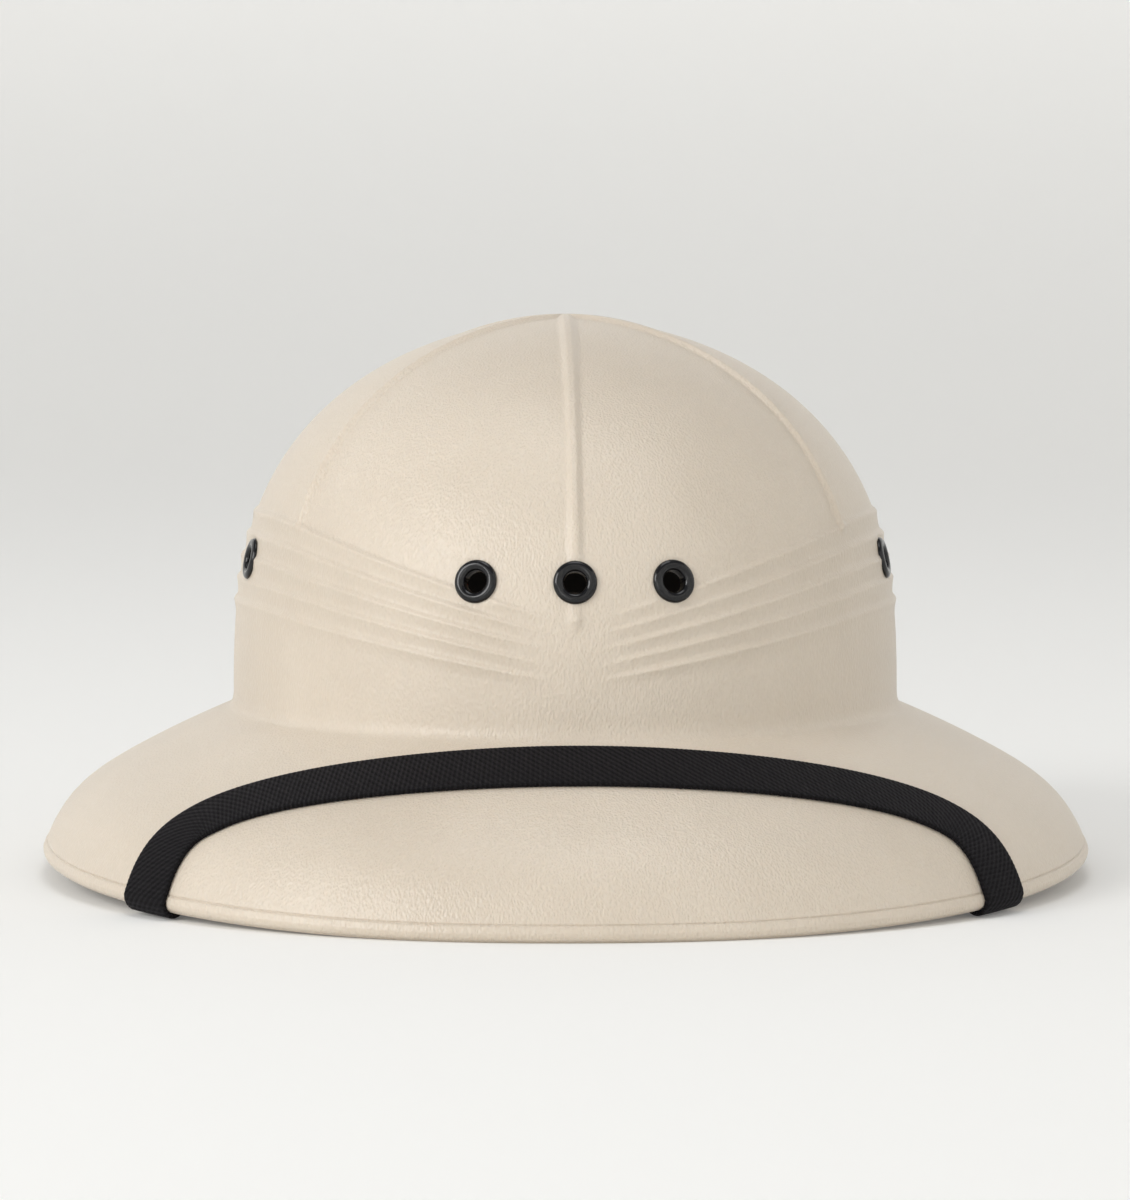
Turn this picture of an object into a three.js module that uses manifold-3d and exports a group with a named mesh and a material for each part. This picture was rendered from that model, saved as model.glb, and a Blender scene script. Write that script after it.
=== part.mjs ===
import * as THREE from 'three';
import { mergeVertices } from 'three/addons/utils/BufferGeometryUtils.js';
import Module from 'manifold-3d';

// Pith helmet in millimetres, standing on its rim: +Z is up and the front faces -Y.
// The origin is on the floor under the middle of the crown. Left is -X, as seen from the front.
// Azimuths are degrees from the front, growing towards +X.

// Crown: an oval dome that stands almost upright at its foot
const CROWN_HALF_WIDTH = 97.3;
const CROWN_HALF_LENGTH = 116.8;
const CROWN_FOOT_Z = 48.2;
const CROWN_HEIGHT = 112.6;
const CROWN_ROUNDNESS = 1.9;
const CROWN_SHOULDER = 2.95;

// Brim: a nearly straight slope that turns down at the edge into a round bead
const BEAD_HALF_WIDTH = 149.6;
const BEAD_HALF_LENGTH = 167.1;
const RIM_SQUARENESS = 2.15;
const BEAD_RADIUS = 2.9;
const BEAD_FLAT_ANGLE = 20;
const SIDE_LIFT = 5.25;
const SIDE_LIFT_POWER = 1.7;
const REST_AZIMUTH = 12;
const SHELL_WALL = 2.0;
const FILLET_RISE = 4.0;
const FILLET_RUN = 2.5;

// Share of the brim's fall that is straight, bowed, and turned down at the edge
const BRIM_FALL = { straight: 0.56, bowed: 0.16, turned: 0.28, turnPower: 10 };

// Moulded relief: six ridges from the apex, and five folds round the crown.
// A fold's upper edge stands out in a short step, and its face falls back to the next one.
const RIDGE_AZIMUTHS = [0, 52, 128, 180, 232, 308];
const RIDGE_HEIGHT = 1.3;
const RIDGE_WIDTH = 6.4;
const FOLD_COUNT = 5;
const FOLD_RELIEF = 0.9;
const FOLD_STEP = 0.3;
const FOLD_SWEEP = 1.3;
const FOLD_FADE = [4, 19];
// Heights of the highest and the lowest fold, as shares of the crown's height
const FOLD_SHARES = {
  highest: { centre: 0.271, side: 0.5 },
  lowest: { centre: 0.131, side: 0.274 },
};

// Ventilation eyelets
const EYELET_RADIUS = 5.6;
const EYELET_HOLE_RADIUS = 3.1;
const EYELET_BARREL_WALL = 0.6;
const EYELET_LIP = 1.3;
const EYELET_COLLAR_RADIUS = 4.6;
const EYELET_COLLAR = 0.8;
const EYELETS = [
  { name: 'eyelet_front_centre', azimuth: 0, share: 0.377 },
  { name: 'eyelet_front_right', azimuth: 13.9, share: 0.377 },
  { name: 'eyelet_side_right', azimuth: 72.2, share: 0.39 },
  { name: 'eyelet_rear_right', azimuth: 166.1, share: 0.377 },
  { name: 'eyelet_rear_centre', azimuth: 180, share: 0.377 },
  { name: 'eyelet_rear_left', azimuth: 193.9, share: 0.377 },
  { name: 'eyelet_side_left', azimuth: 287.8, share: 0.39 },
  { name: 'eyelet_front_left', azimuth: 346.1, share: 0.377 },
];

// Chin strap, worn up over the front brim
const STRAP_WIDTH = 18;
const STRAP_THICKNESS = 1.3;
const STRAP_SETBACK = 1.0;
const STRAP_CROSSING_AZIMUTH = 45;
const STRAP_BOW = 1.3;
const STRAP_EASE = 0.2;
const STRAP_ANCHOR_AZIMUTH = 50;
const STRAP_LAP = 12;

// Headband, held off the shell by four spacers
const BAND_STANDOFF = 10.3;
const BAND_THICKNESS = 2.0;
const BAND_DROP = 1.7;
const BAND_LOWER_HEIGHT = 9.5;
const BAND_WINDOW_HEIGHT = 17;
const BAND_UPPER_HEIGHT = 8;
const WINDOW_AZIMUTHS = [80, 280];
const SPACER_WIDTH = 20;
const SPACER_AZIMUTHS = { front: 0, right: 90, rear: 180, left: 270 };

// Edge strips, clipped along the headband's lower edge at the temples
const EDGE_STRIP_AZIMUTHS = [59.5, 107.5];
const EDGE_STRIP_THICKNESS = 2.3;
const EDGE_STRIP_HEIGHT = 5;
const EDGE_STRIP_DROP = 1.2;

// Rivets that hold the strap's ends on the headband
const RIVET_SHANK_RADIUS = 1.5;
const RIVET_HEAD_RADIUS = 3.4;
const RIVET_HEAD = 1.0;

const GAP = 0.3;
// The most that the shell's flat facets lie inside its true curve
const FACET_SAG = 0.3;

// Fineness of the facets
const COLUMN_STEP = 7;
const CAP_ROWS = 8;
const OUTER_BRIM_ROWS = [0.2, 0.42, 0.62, 0.77, 0.87, 0.93, 0.97, 1];
const INNER_BRIM_ROWS = [0.3, 0.6, 0.8, 0.9, 0.955];
const FILLET_ROWS = [0, 0.5, 1];
const BEAD_ANGLES = [-35, BEAD_FLAT_ANGLE - 90, -90 - BEAD_FLAT_ANGLE, -150, -195, -235];
const ROUND_SIDES = 10;
const ROUND_START = Math.PI / ROUND_SIDES;
// Edges that a cut leaves shorter than this are closed up
const SLIVER = 0.05;
const STRAP_BRIM_STATIONS = 14;
const STRAP_WRAP_STATIONS = 5;

const wasm = await Module();
wasm.setup();

const rad = THREE.MathUtils.degToRad;
const lerp = THREE.MathUtils.lerp;
const smoothstep = THREE.MathUtils.smoothstep;
const bandBottomZ = CROWN_FOOT_Z - BAND_DROP;
const bandLevels = [0, BAND_LOWER_HEIGHT, BAND_LOWER_HEIGHT + BAND_WINDOW_HEIGHT,
  BAND_LOWER_HEIGHT + BAND_WINDOW_HEIGHT + BAND_UPPER_HEIGHT].map((rise) => bandBottomZ + rise);

// A point given by its azimuth, its distance from the axis and its height
function place(phi, reach, z) {
  return new THREE.Vector3(reach * Math.sin(phi), -reach * Math.cos(phi), z);
}

function ellipseReach(phi, halfWidth, halfLength) {
  return 1 / Math.hypot(Math.sin(phi) / halfWidth, Math.cos(phi) / halfLength);
}

function crownReach(phi) {
  return ellipseReach(phi, CROWN_HALF_WIDTH, CROWN_HALF_LENGTH);
}

function bandReach(phi) {
  const inset = SHELL_WALL + BAND_STANDOFF;
  return ellipseReach(phi, CROWN_HALF_WIDTH - inset, CROWN_HALF_LENGTH - inset);
}

function beadReach(phi) {
  const across = (Math.abs(Math.sin(phi)) / BEAD_HALF_WIDTH) ** RIM_SQUARENESS;
  const along = (Math.abs(Math.cos(phi)) / BEAD_HALF_LENGTH) ** RIM_SQUARENESS;
  return (across + along) ** (-1 / RIM_SQUARENESS);
}

// The bead is level over the two stretches that the helmet stands on, and higher at the sides
function beadHeight(phi) {
  const level = Math.sin(rad(REST_AZIMUTH));
  const beyond = Math.max(0, Math.abs(Math.sin(phi)) - level) / (1 - level);
  return BEAD_RADIUS * Math.cos(rad(BEAD_FLAT_ANGLE)) + SIDE_LIFT * beyond ** SIDE_LIFT_POWER;
}

// One point of a section through the axis, with the outward normal of the section
function sectionPoint(reach, z, out, up) {
  const length = Math.hypot(out, up);
  return { reach, z, out: out / length, up: up / length };
}

function offset(point, distance) {
  return { ...point, reach: point.reach + point.out * distance, z: point.z + point.up * distance };
}

function crownPoint(phi, share) {
  const foot = crownReach(phi);
  const spread = (1 - share ** CROWN_SHOULDER) ** (1 / CROWN_ROUNDNESS);
  const out = (CROWN_ROUNDNESS / foot) * spread ** (CROWN_ROUNDNESS - 1);
  const up = (CROWN_SHOULDER / CROWN_HEIGHT) * share ** (CROWN_SHOULDER - 1);
  return sectionPoint(foot * spread, CROWN_FOOT_Z + CROWN_HEIGHT * share, out, up);
}

function brimPoint(phi, share) {
  const { straight, bowed, turned, turnPower } = BRIM_FALL;
  const run = beadReach(phi) + BEAD_RADIUS - crownReach(phi);
  const drop = CROWN_FOOT_Z - beadHeight(phi);
  const fall = straight * share + bowed * share ** 2 + turned * share ** turnPower;
  const steepness = straight + 2 * bowed * share + turnPower * turned * share ** (turnPower - 1);
  return sectionPoint(crownReach(phi) + run * share, CROWN_FOOT_Z - drop * fall, drop * steepness, run);
}

// The hollow corner between crown and brim: a quadratic curve whose middle handle is the corner
function filletPoint(phi, t) {
  const run = beadReach(phi) + BEAD_RADIUS - crownReach(phi);
  const start = crownPoint(phi, FILLET_RISE / CROWN_HEIGHT);
  const end = brimPoint(phi, FILLET_RUN / run);
  const corner = { reach: crownReach(phi), z: CROWN_FOOT_Z };
  const blend = (key) => (1 - t) ** 2 * start[key] + 2 * t * (1 - t) * corner[key] + t ** 2 * end[key];
  const slope = (key) => (1 - t) * (corner[key] - start[key]) + t * (end[key] - corner[key]);
  return sectionPoint(blend('reach'), blend('z'), -slope('z'), slope('reach'));
}

function beadPoint(phi, angle, distance) {
  return {
    reach: beadReach(phi) + distance * Math.cos(angle),
    z: beadHeight(phi) + distance * Math.sin(angle),
  };
}

// The folds are lowest at the front and back centre and highest at the sides
function foldShare(phi, fold) {
  const fromCentre = Math.asin(Math.abs(Math.sin(phi)));
  const sweep = Math.sin(Math.min(Math.PI / 2, FOLD_SWEEP * fromCentre));
  const { highest, lowest } = FOLD_SHARES;
  const down = fold / (FOLD_COUNT - 1);
  return lerp(lerp(highest.centre, lowest.centre, down), lerp(highest.side, lowest.side, down), sweep);
}

function foldFade(phi) {
  const fromCentre = Math.asin(Math.abs(Math.sin(phi)));
  return smoothstep(fromCentre, rad(FOLD_FADE[0]), rad(FOLD_FADE[1]));
}

// Place and outward direction of an eyelet on the smooth crown
function eyeletFrame({ azimuth, share }) {
  const phi = rad(azimuth);
  const point = crownPoint(phi, share);
  const position = place(phi, point.reach, point.z);
  const spread = (1 - share ** CROWN_SHOULDER) ** (1 / CROWN_ROUNDNESS);
  const pull = CROWN_ROUNDNESS * spread ** (CROWN_ROUNDNESS - 2);
  const normal = new THREE.Vector3(
    (pull * position.x) / CROWN_HALF_WIDTH ** 2,
    (pull * position.y) / CROWN_HALF_LENGTH ** 2,
    (CROWN_SHOULDER / CROWN_HEIGHT) * share ** (CROWN_SHOULDER - 1),
  );
  return { position, normal: normal.normalize() };
}

// A closed body from shared points and triangles, with its faces turned outwards
function closedGeometry(points, triangles) {
  let volume = 0;
  for (const [a, b, c] of triangles) {
    volume += points[a].dot(points[b].clone().cross(points[c]));
  }
  const indices = triangles.flatMap(([a, b, c]) => (volume > 0 ? [a, b, c] : [a, c, b]));
  const geometry = new THREE.BufferGeometry().setFromPoints(points);
  geometry.setIndex(indices);
  geometry.computeVertexNormals();
  return geometry;
}

function toManifold(geometry) {
  const bare = geometry.clone();
  bare.deleteAttribute('normal');
  bare.deleteAttribute('uv');
  const merged = mergeVertices(bare, 1e-5);
  return new wasm.Manifold(new wasm.Mesh({
    numProp: 3,
    vertProperties: Float32Array.from(merged.attributes.position.array),
    triVerts: Uint32Array.from(merged.index.array),
  }));
}

function fromManifold(manifold) {
  const mesh = manifold.getMesh();
  const geometry = new THREE.BufferGeometry();
  geometry.setAttribute('position', new THREE.BufferAttribute(mesh.vertProperties, 3));
  geometry.setIndex(new THREE.BufferAttribute(mesh.triVerts, 1));
  geometry.computeVertexNormals();
  return geometry;
}

// Round cuts, each along its own direction between two heights above its centre
function drill(geometry, cuts) {
  let body = toManifold(geometry);
  for (const { position, normal, radius, heights } of cuts) {
    const [bottom, top] = heights;
    const cutter = new THREE.CylinderGeometry(
      radius, radius, top - bottom, ROUND_SIDES, 1, false, ROUND_START);
    const turn = new THREE.Quaternion().setFromUnitVectors(new THREE.Vector3(0, 1, 0), normal);
    cutter.translate(0, (bottom + top) / 2, 0);
    cutter.applyQuaternion(turn).translate(position.x, position.y, position.z);
    body = body.subtract(toManifold(cutter));
  }
  return fromManifold(body.simplify(SLIVER));
}

// Azimuths of the shell's columns: three at each ridge and even steps between ridges
function shellColumns() {
  const half = RIDGE_WIDTH / 2;
  return RIDGE_AZIMUTHS.flatMap((azimuth, index) => {
    const phi = rad(azimuth);
    const next = rad(RIDGE_AZIMUTHS[index + 1] ?? RIDGE_AZIMUTHS[0] + 360);
    const from = phi + half / crownReach(phi);
    const to = next - half / crownReach(next);
    const steps = Math.round((to - from) / rad(COLUMN_STEP));
    const between = Array.from({ length: steps + 1 }, (_, step) => lerp(from, to, step / steps));
    return [{ phi, ridge: true }, ...between.map((value) => ({ phi: value, ridge: false }))];
  });
}

function foldPitch(phi) {
  return (foldShare(phi, 0) - foldShare(phi, FOLD_COUNT - 1)) / (FOLD_COUNT - 1);
}

function capShares(phi) {
  const lowest = foldShare(phi, 0) + foldPitch(phi) * FOLD_STEP;
  const end = Math.acos(lowest ** (CROWN_SHOULDER / 2));
  return Array.from({ length: CAP_ROWS }, (_, row) => (
    Math.cos((end * (row + 1)) / (CAP_ROWS + 1)) ** (2 / CROWN_SHOULDER)));
}

function outerSection({ phi, ridge }) {
  const cap = capShares(phi).map((share) => offset(crownPoint(phi, share), ridge ? RIDGE_HEIGHT : 0));
  const pitch = foldPitch(phi);
  const folds = Array.from({ length: FOLD_COUNT }, (_, fold) => [
    offset(crownPoint(phi, foldShare(phi, fold)), FOLD_RELIEF * foldFade(phi)),
    crownPoint(phi, foldShare(phi, fold) - pitch * (1 - FOLD_STEP)),
  ]).flat();
  folds.unshift(crownPoint(phi, foldShare(phi, 0) + pitch * FOLD_STEP));
  const fillet = FILLET_ROWS.map((t) => filletPoint(phi, t));
  const brim = OUTER_BRIM_ROWS.map((share) => brimPoint(phi, share));
  const bead = BEAD_ANGLES.map((angle) => beadPoint(phi, rad(angle), BEAD_RADIUS));
  return [...cap, ...folds, ...fillet, ...brim, ...bead];
}

function innerSection({ phi }) {
  const brim = INNER_BRIM_ROWS.map((share) => brimPoint(phi, share)).reverse();
  const fillet = FILLET_ROWS.map((t) => filletPoint(phi, t)).reverse();
  const folds = [4, 2, 0].map((fold) => crownPoint(phi, foldShare(phi, fold)));
  const cap = capShares(phi).map((share) => crownPoint(phi, share)).reverse();
  return [...brim, ...fillet, ...folds, ...cap].map((point) => offset(point, -SHELL_WALL));
}

function shellGeometry() {
  const columns = shellColumns();
  const sections = columns.map((column) => [...outerSection(column), ...innerSection(column)]);
  const rows = sections[0].length;
  const points = sections.flatMap((section, index) => (
    section.map(({ reach, z }) => place(columns[index].phi, reach, z))));
  const outerApex = points.push(new THREE.Vector3(0, 0, CROWN_FOOT_Z + CROWN_HEIGHT + RIDGE_HEIGHT)) - 1;
  const innerApex = points.push(new THREE.Vector3(0, 0, CROWN_FOOT_Z + CROWN_HEIGHT - SHELL_WALL)) - 1;
  const triangles = [];
  for (let column = 0; column < columns.length; column += 1) {
    const here = column * rows;
    const next = ((column + 1) % columns.length) * rows;
    triangles.push([outerApex, here, next], [innerApex, next + rows - 1, here + rows - 1]);
    for (let row = 0; row < rows - 1; row += 1) {
      triangles.push([here + row, here + row + 1, next + row + 1], [here + row, next + row + 1, next + row]);
    }
  }
  return drill(closedGeometry(points, triangles), EYELETS.flatMap(eyeletCuts));
}

// A hole for the barrel, and a flat seat on each side of the wall for the lip and the collar
function eyeletCuts(eyelet) {
  const frame = eyeletFrame(eyelet);
  const reach = 3 * SHELL_WALL;
  return [
    { ...frame, radius: EYELET_HOLE_RADIUS + EYELET_BARREL_WALL + GAP, heights: [-reach, reach] },
    { ...frame, radius: EYELET_RADIUS + GAP, heights: [0, reach] },
    { ...frame, radius: EYELET_COLLAR_RADIUS + GAP, heights: [-reach, -SHELL_WALL - GAP] },
  ];
}

// A pressed ring: a lip outside, a barrel through the wall and a turned collar inside
function eyeletGeometry() {
  const hole = EYELET_HOLE_RADIUS;
  const barrel = hole + EYELET_BARREL_WALL;
  const inside = -SHELL_WALL - 2 * GAP;
  const profile = [
    [hole, inside - EYELET_COLLAR],
    [EYELET_COLLAR_RADIUS, inside - EYELET_COLLAR],
    [EYELET_COLLAR_RADIUS, inside],
    [barrel, inside],
    [barrel, GAP],
    [EYELET_RADIUS, GAP],
    [EYELET_RADIUS - EYELET_LIP / 4, GAP + EYELET_LIP / 2],
    [lerp(hole, EYELET_RADIUS, 0.6), GAP + EYELET_LIP],
    [hole, GAP + EYELET_LIP / 2],
    [hole, inside - EYELET_COLLAR],
  ].map(([radius, height]) => new THREE.Vector2(radius, height));
  return new THREE.LatheGeometry(profile, ROUND_SIDES, ROUND_START);
}

// A bent bar or ring between two upright walls, in cells; cells that are left out are windows
function wallGeometry({ azimuths, levels, closed = false, filled = () => true, inner, outer }) {
  const columns = closed ? azimuths.length : azimuths.length - 1;
  const points = azimuths.flatMap((phi) => levels.flatMap((z) => [
    place(phi, inner(phi, z), z), place(phi, outer(phi, z), z)]));
  const at = (column, level, side) => ((column % azimuths.length) * levels.length + level) * 2 + side;
  const has = (column, level) => {
    if (level < 0 || level > levels.length - 2) return false;
    if (!closed && (column < 0 || column > columns - 1)) return false;
    return filled((column + columns) % columns, level);
  };
  const triangles = [];
  const quad = (a, b, c, d) => triangles.push([a, b, c], [a, c, d]);
  for (let i = 0; i < columns; i += 1) {
    for (let j = 0; j < levels.length - 1; j += 1) {
      if (!has(i, j)) continue;
      quad(at(i, j, 1), at(i + 1, j, 1), at(i + 1, j + 1, 1), at(i, j + 1, 1));
      quad(at(i + 1, j, 0), at(i, j, 0), at(i, j + 1, 0), at(i + 1, j + 1, 0));
      if (!has(i, j - 1)) quad(at(i, j, 0), at(i + 1, j, 0), at(i + 1, j, 1), at(i, j, 1));
      if (!has(i, j + 1)) quad(at(i, j + 1, 1), at(i + 1, j + 1, 1), at(i + 1, j + 1, 0), at(i, j + 1, 0));
      if (!has(i - 1, j)) quad(at(i, j, 0), at(i, j, 1), at(i, j + 1, 1), at(i, j + 1, 0));
      if (!has(i + 1, j)) quad(at(i + 1, j, 1), at(i + 1, j, 0), at(i + 1, j + 1, 0), at(i + 1, j + 1, 1));
    }
  }
  return closedGeometry(points, triangles);
}

function evenAzimuths(from, to) {
  const steps = Math.max(2, Math.round((to - from) / COLUMN_STEP));
  return Array.from({ length: steps + 1 }, (_, step) => rad(lerp(from, to, step / steps)));
}

// Outward direction of the headband at an azimuth
function bandNormal(phi) {
  const inset = SHELL_WALL + BAND_STANDOFF;
  return new THREE.Vector3(
    Math.sin(phi) / (CROWN_HALF_WIDTH - inset) ** 2,
    -Math.cos(phi) / (CROWN_HALF_LENGTH - inset) ** 2,
    0,
  ).normalize();
}

function rivetFrame(side) {
  const phi = side * rad(STRAP_ANCHOR_AZIMUTH);
  return {
    position: place(phi, bandReach(phi), bandBottomZ + BAND_LOWER_HEIGHT * 0.72),
    normal: bandNormal(phi),
  };
}

function rivetHole(side) {
  return {
    ...rivetFrame(side),
    radius: RIVET_SHANK_RADIUS + GAP,
    heights: [-2 * BAND_THICKNESS, 2 * GAP + 2 * STRAP_THICKNESS],
  };
}

function bandGeometry() {
  const front = evenAzimuths(WINDOW_AZIMUTHS[1] - 360, WINDOW_AZIMUTHS[0]);
  const rear = evenAzimuths(WINDOW_AZIMUTHS[0], WINDOW_AZIMUTHS[1]).slice(1, -1);
  const ring = wallGeometry({
    azimuths: [...front, ...rear],
    levels: bandLevels,
    closed: true,
    filled: (column, level) => level !== 1 || column < front.length - 1,
    inner: (phi) => bandReach(phi) - BAND_THICKNESS,
    outer: bandReach,
  });
  return drill(ring, [rivetHole(-1), rivetHole(1)]);
}

function spacerGeometry(azimuth) {
  const half = THREE.MathUtils.radToDeg(SPACER_WIDTH / 2 / bandReach(rad(azimuth)));
  return wallGeometry({
    azimuths: evenAzimuths(azimuth - half, azimuth + half),
    levels: bandLevels.slice(2),
    inner: (phi) => bandReach(phi) + GAP,
    outer: (phi, z) => crownPoint(phi, (z - CROWN_FOOT_Z) / CROWN_HEIGHT).reach - SHELL_WALL - FACET_SAG - GAP,
  });
}

function edgeStripGeometry(from, to) {
  const bottom = bandBottomZ - EDGE_STRIP_DROP;
  return wallGeometry({
    azimuths: evenAzimuths(from, to),
    levels: [bottom, bottom + EDGE_STRIP_HEIGHT],
    inner: (phi) => bandReach(phi) + GAP,
    outer: (phi) => bandReach(phi) + GAP + EDGE_STRIP_THICKNESS,
  });
}

function rivetGeometry() {
  const inside = -BAND_THICKNESS - GAP;
  const outside = 2 * GAP + STRAP_THICKNESS + GAP;
  const profile = [
    [0, inside - RIVET_HEAD],
    [RIVET_HEAD_RADIUS, inside - RIVET_HEAD],
    [RIVET_HEAD_RADIUS, inside],
    [RIVET_SHANK_RADIUS, inside],
    [RIVET_SHANK_RADIUS, outside],
    [RIVET_HEAD_RADIUS, outside],
    [RIVET_HEAD_RADIUS * 0.7, outside + RIVET_HEAD],
    [0, outside + RIVET_HEAD],
  ].map(([radius, height]) => new THREE.Vector2(radius, height));
  return new THREE.LatheGeometry(profile, ROUND_SIDES, ROUND_START);
}

function onBrim({ phi, share }) {
  const { reach, z } = brimPoint(phi, share);
  return place(phi, reach, z);
}

// The two directions along the brim at a point, per radian and per share, and its normal
function brimFrame({ phi, share }) {
  const d = 1e-4;
  const round = onBrim({ phi: phi + d, share }).sub(onBrim({ phi: phi - d, share })).divideScalar(2 * d);
  const out = onBrim({ phi, share: share + d }).sub(onBrim({ phi, share: share - d })).divideScalar(2 * d);
  return { round, out, normal: out.clone().cross(round).normalize() };
}

// Walks a distance over the brim's surface, straight on in one direction
function walkOnBrim(start, heading, distance) {
  const steps = 6;
  const at = { ...start };
  for (let step = 0; step < steps; step += 1) {
    const { round, out, normal } = brimFrame(at);
    const move = heading.clone().projectOnPlane(normal).setLength(Math.abs(distance) / steps);
    move.multiplyScalar(Math.sign(distance));
    const rr = round.dot(round);
    const ro = round.dot(out);
    const oo = out.dot(out);
    const det = rr * oo - ro * ro;
    at.phi += (oo * round.dot(move) - ro * out.dot(move)) / det;
    at.share += (rr * out.dot(move) - ro * round.dot(move)) / det;
  }
  return at;
}

// The strap's swing from the crown to the rim, from 0 to 1; it starts level at the front
function strapSwing(t) {
  const rise = (value) => Math.hypot(value, STRAP_EASE) ** STRAP_BOW - STRAP_EASE ** STRAP_BOW;
  return rise(t) / rise(1);
}

// The strap's middle line on the brim; t runs from 0 at the front to 1 where it meets the rim
function strapGuide(t, side) {
  const run = beadReach(0) + BEAD_RADIUS - crownReach(0);
  const start = (FILLET_RUN + STRAP_SETBACK + STRAP_WIDTH / 2) / run;
  return {
    phi: side * rad(STRAP_CROSSING_AZIMUTH) * (1 - (1 - t) ** 2),
    share: lerp(start, 1, strapSwing(t)),
  };
}

// A section of the strap lying on the brim: three points on its underside and three on top
function strapOnBrim(t, side) {
  const centre = strapGuide(t, side);
  const ahead = onBrim(strapGuide(t + 1e-3, side)).sub(onBrim(centre)).multiplyScalar(side);
  const across = brimFrame(centre).normal.cross(ahead);
  const lines = [-1, 0, 1].map((edge) => (
    edge === 0 ? centre : walkOnBrim(centre, across, (edge * STRAP_WIDTH) / 2)));
  const lift = (height) => lines.map((line) => (
    onBrim(line).addScaledVector(brimFrame(line).normal, height)));
  return [...lift(GAP), ...lift(GAP + STRAP_THICKNESS).reverse()];
}

// Every section runs across the strap the same way, from the left end of the strap to the right
function strapOnBead(angle, side) {
  const crossing = rad(STRAP_CROSSING_AZIMUTH);
  const lines = [-1, 0, 1].map((edge) => (
    side * (crossing + (edge * STRAP_WIDTH) / 2 / beadReach(crossing))));
  const lift = (height) => lines.map((phi) => {
    const { reach, z } = beadPoint(phi, angle, BEAD_RADIUS + height);
    return place(phi, reach, z);
  });
  return [...lift(GAP), ...lift(GAP + STRAP_THICKNESS).reverse()];
}

// A section of the strap's end, upright against the outside of the headband
function strapOnBand(z, side) {
  const middle = rad(STRAP_ANCHOR_AZIMUTH);
  const lines = [-1, 0, 1].map((edge) => side * (middle + (edge * STRAP_WIDTH) / 2 / bandReach(middle)));
  const lift = (height) => lines.map((phi) => place(phi, bandReach(phi) + height, z));
  return [...lift(GAP + STRAP_THICKNESS), ...lift(GAP).reverse()];
}

function strapHalf(side) {
  const knee = bandBottomZ + BAND_DROP / 2;
  const brim = Array.from({ length: STRAP_BRIM_STATIONS }, (_, step) => (
    strapOnBrim(1 - (1 - (step + 1) / (STRAP_BRIM_STATIONS + 1)) ** 1.5, side)));
  const crossing = side * rad(STRAP_CROSSING_AZIMUTH);
  const anchor = side * rad(STRAP_ANCHOR_AZIMUTH);
  const leave = place(crossing, beadReach(crossing), beadHeight(crossing) - BEAD_RADIUS);
  const run = place(anchor, bandReach(anchor), knee).sub(leave);
  const climb = Math.atan2(run.z, Math.hypot(run.x, run.y));
  const wrap = Array.from({ length: STRAP_WRAP_STATIONS }, (_, step) => (
    strapOnBead((-(Math.PI / 2 + climb) * step) / (STRAP_WRAP_STATIONS - 1), side)));
  return [...brim, ...wrap, strapOnBand(knee, side), strapOnBand(knee + STRAP_LAP, side)];
}

function strapGeometry() {
  const sections = [...strapHalf(-1).reverse(), strapOnBrim(0, 1), ...strapHalf(1)];
  const size = sections[0].length;
  const points = sections.flat();
  const triangles = [];
  for (let section = 0; section < sections.length - 1; section += 1) {
    for (let corner = 0; corner < size; corner += 1) {
      const here = section * size + corner;
      const beside = section * size + ((corner + 1) % size);
      triangles.push([here, beside, beside + size], [here, beside + size, here + size]);
    }
  }
  const last = points.length - size;
  for (let corner = 1; corner < size - 1; corner += 1) {
    triangles.push([0, corner + 1, corner], [last, last + corner, last + corner + 1]);
  }
  return drill(closedGeometry(points, triangles), [rivetHole(-1), rivetHole(1)]);
}

const helmet = new THREE.Group();

function addPiece(name, geometry, material, frame) {
  const mesh = new THREE.Mesh(geometry, new THREE.MeshStandardMaterial(material));
  mesh.name = name;
  if (frame) {
    mesh.position.copy(frame.position);
    mesh.quaternion.setFromUnitVectors(new THREE.Vector3(0, 1, 0), frame.normal);
  }
  helmet.add(mesh);
}

const POLYETHYLENE = { color: 0xe0d4c0, roughness: 0.55, metalness: 0 };
const ENAMEL = { color: 0x101012, roughness: 0.2, metalness: 0.1 };
const WEBBING = { color: 0x18161a, roughness: 0.9, metalness: 0 };
const BAND_PLASTIC = { color: 0x141414, roughness: 0.7, metalness: 0 };
const STRIP_PLASTIC = { color: 0x5a5756, roughness: 0.3, metalness: 0 };

addPiece('shell', shellGeometry(), POLYETHYLENE);
EYELETS.forEach((eyelet) => addPiece(eyelet.name, eyeletGeometry(), ENAMEL, eyeletFrame(eyelet)));
addPiece('chin_strap', strapGeometry(), WEBBING);
addPiece('headband', bandGeometry(), BAND_PLASTIC);
Object.entries(SPACER_AZIMUTHS).forEach(([side, azimuth]) => (
  addPiece(`spacer_${side}`, spacerGeometry(azimuth), BAND_PLASTIC)));
addPiece('edge_strip_right', edgeStripGeometry(...EDGE_STRIP_AZIMUTHS), STRIP_PLASTIC);
addPiece('edge_strip_left', edgeStripGeometry(...EDGE_STRIP_AZIMUTHS.map((a) => -a).reverse()), STRIP_PLASTIC);
addPiece('strap_rivet_left', rivetGeometry(), ENAMEL, rivetFrame(-1));
addPiece('strap_rivet_right', rivetGeometry(), ENAMEL, rivetFrame(1));

export default helmet;
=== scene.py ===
# %% [markdown]
# A pith helmet. This lesson dresses a measured model of a sun helmet: one moulded plastic shell,
# eight pressed eyelets, a webbing chin strap over the brim, and a headband inside. The measured
# model comes in first, as a fixed frame. Every new piece is made in the same place and takes over
# from one of its parts, so nothing here has to be fitted by eye.

# %% Load the measured model
import math
from math import acos, asin, atan2, cos, degrees, hypot, pi, radians, sin

import bmesh
import bpy
from mathutils import Matrix, Vector


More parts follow.
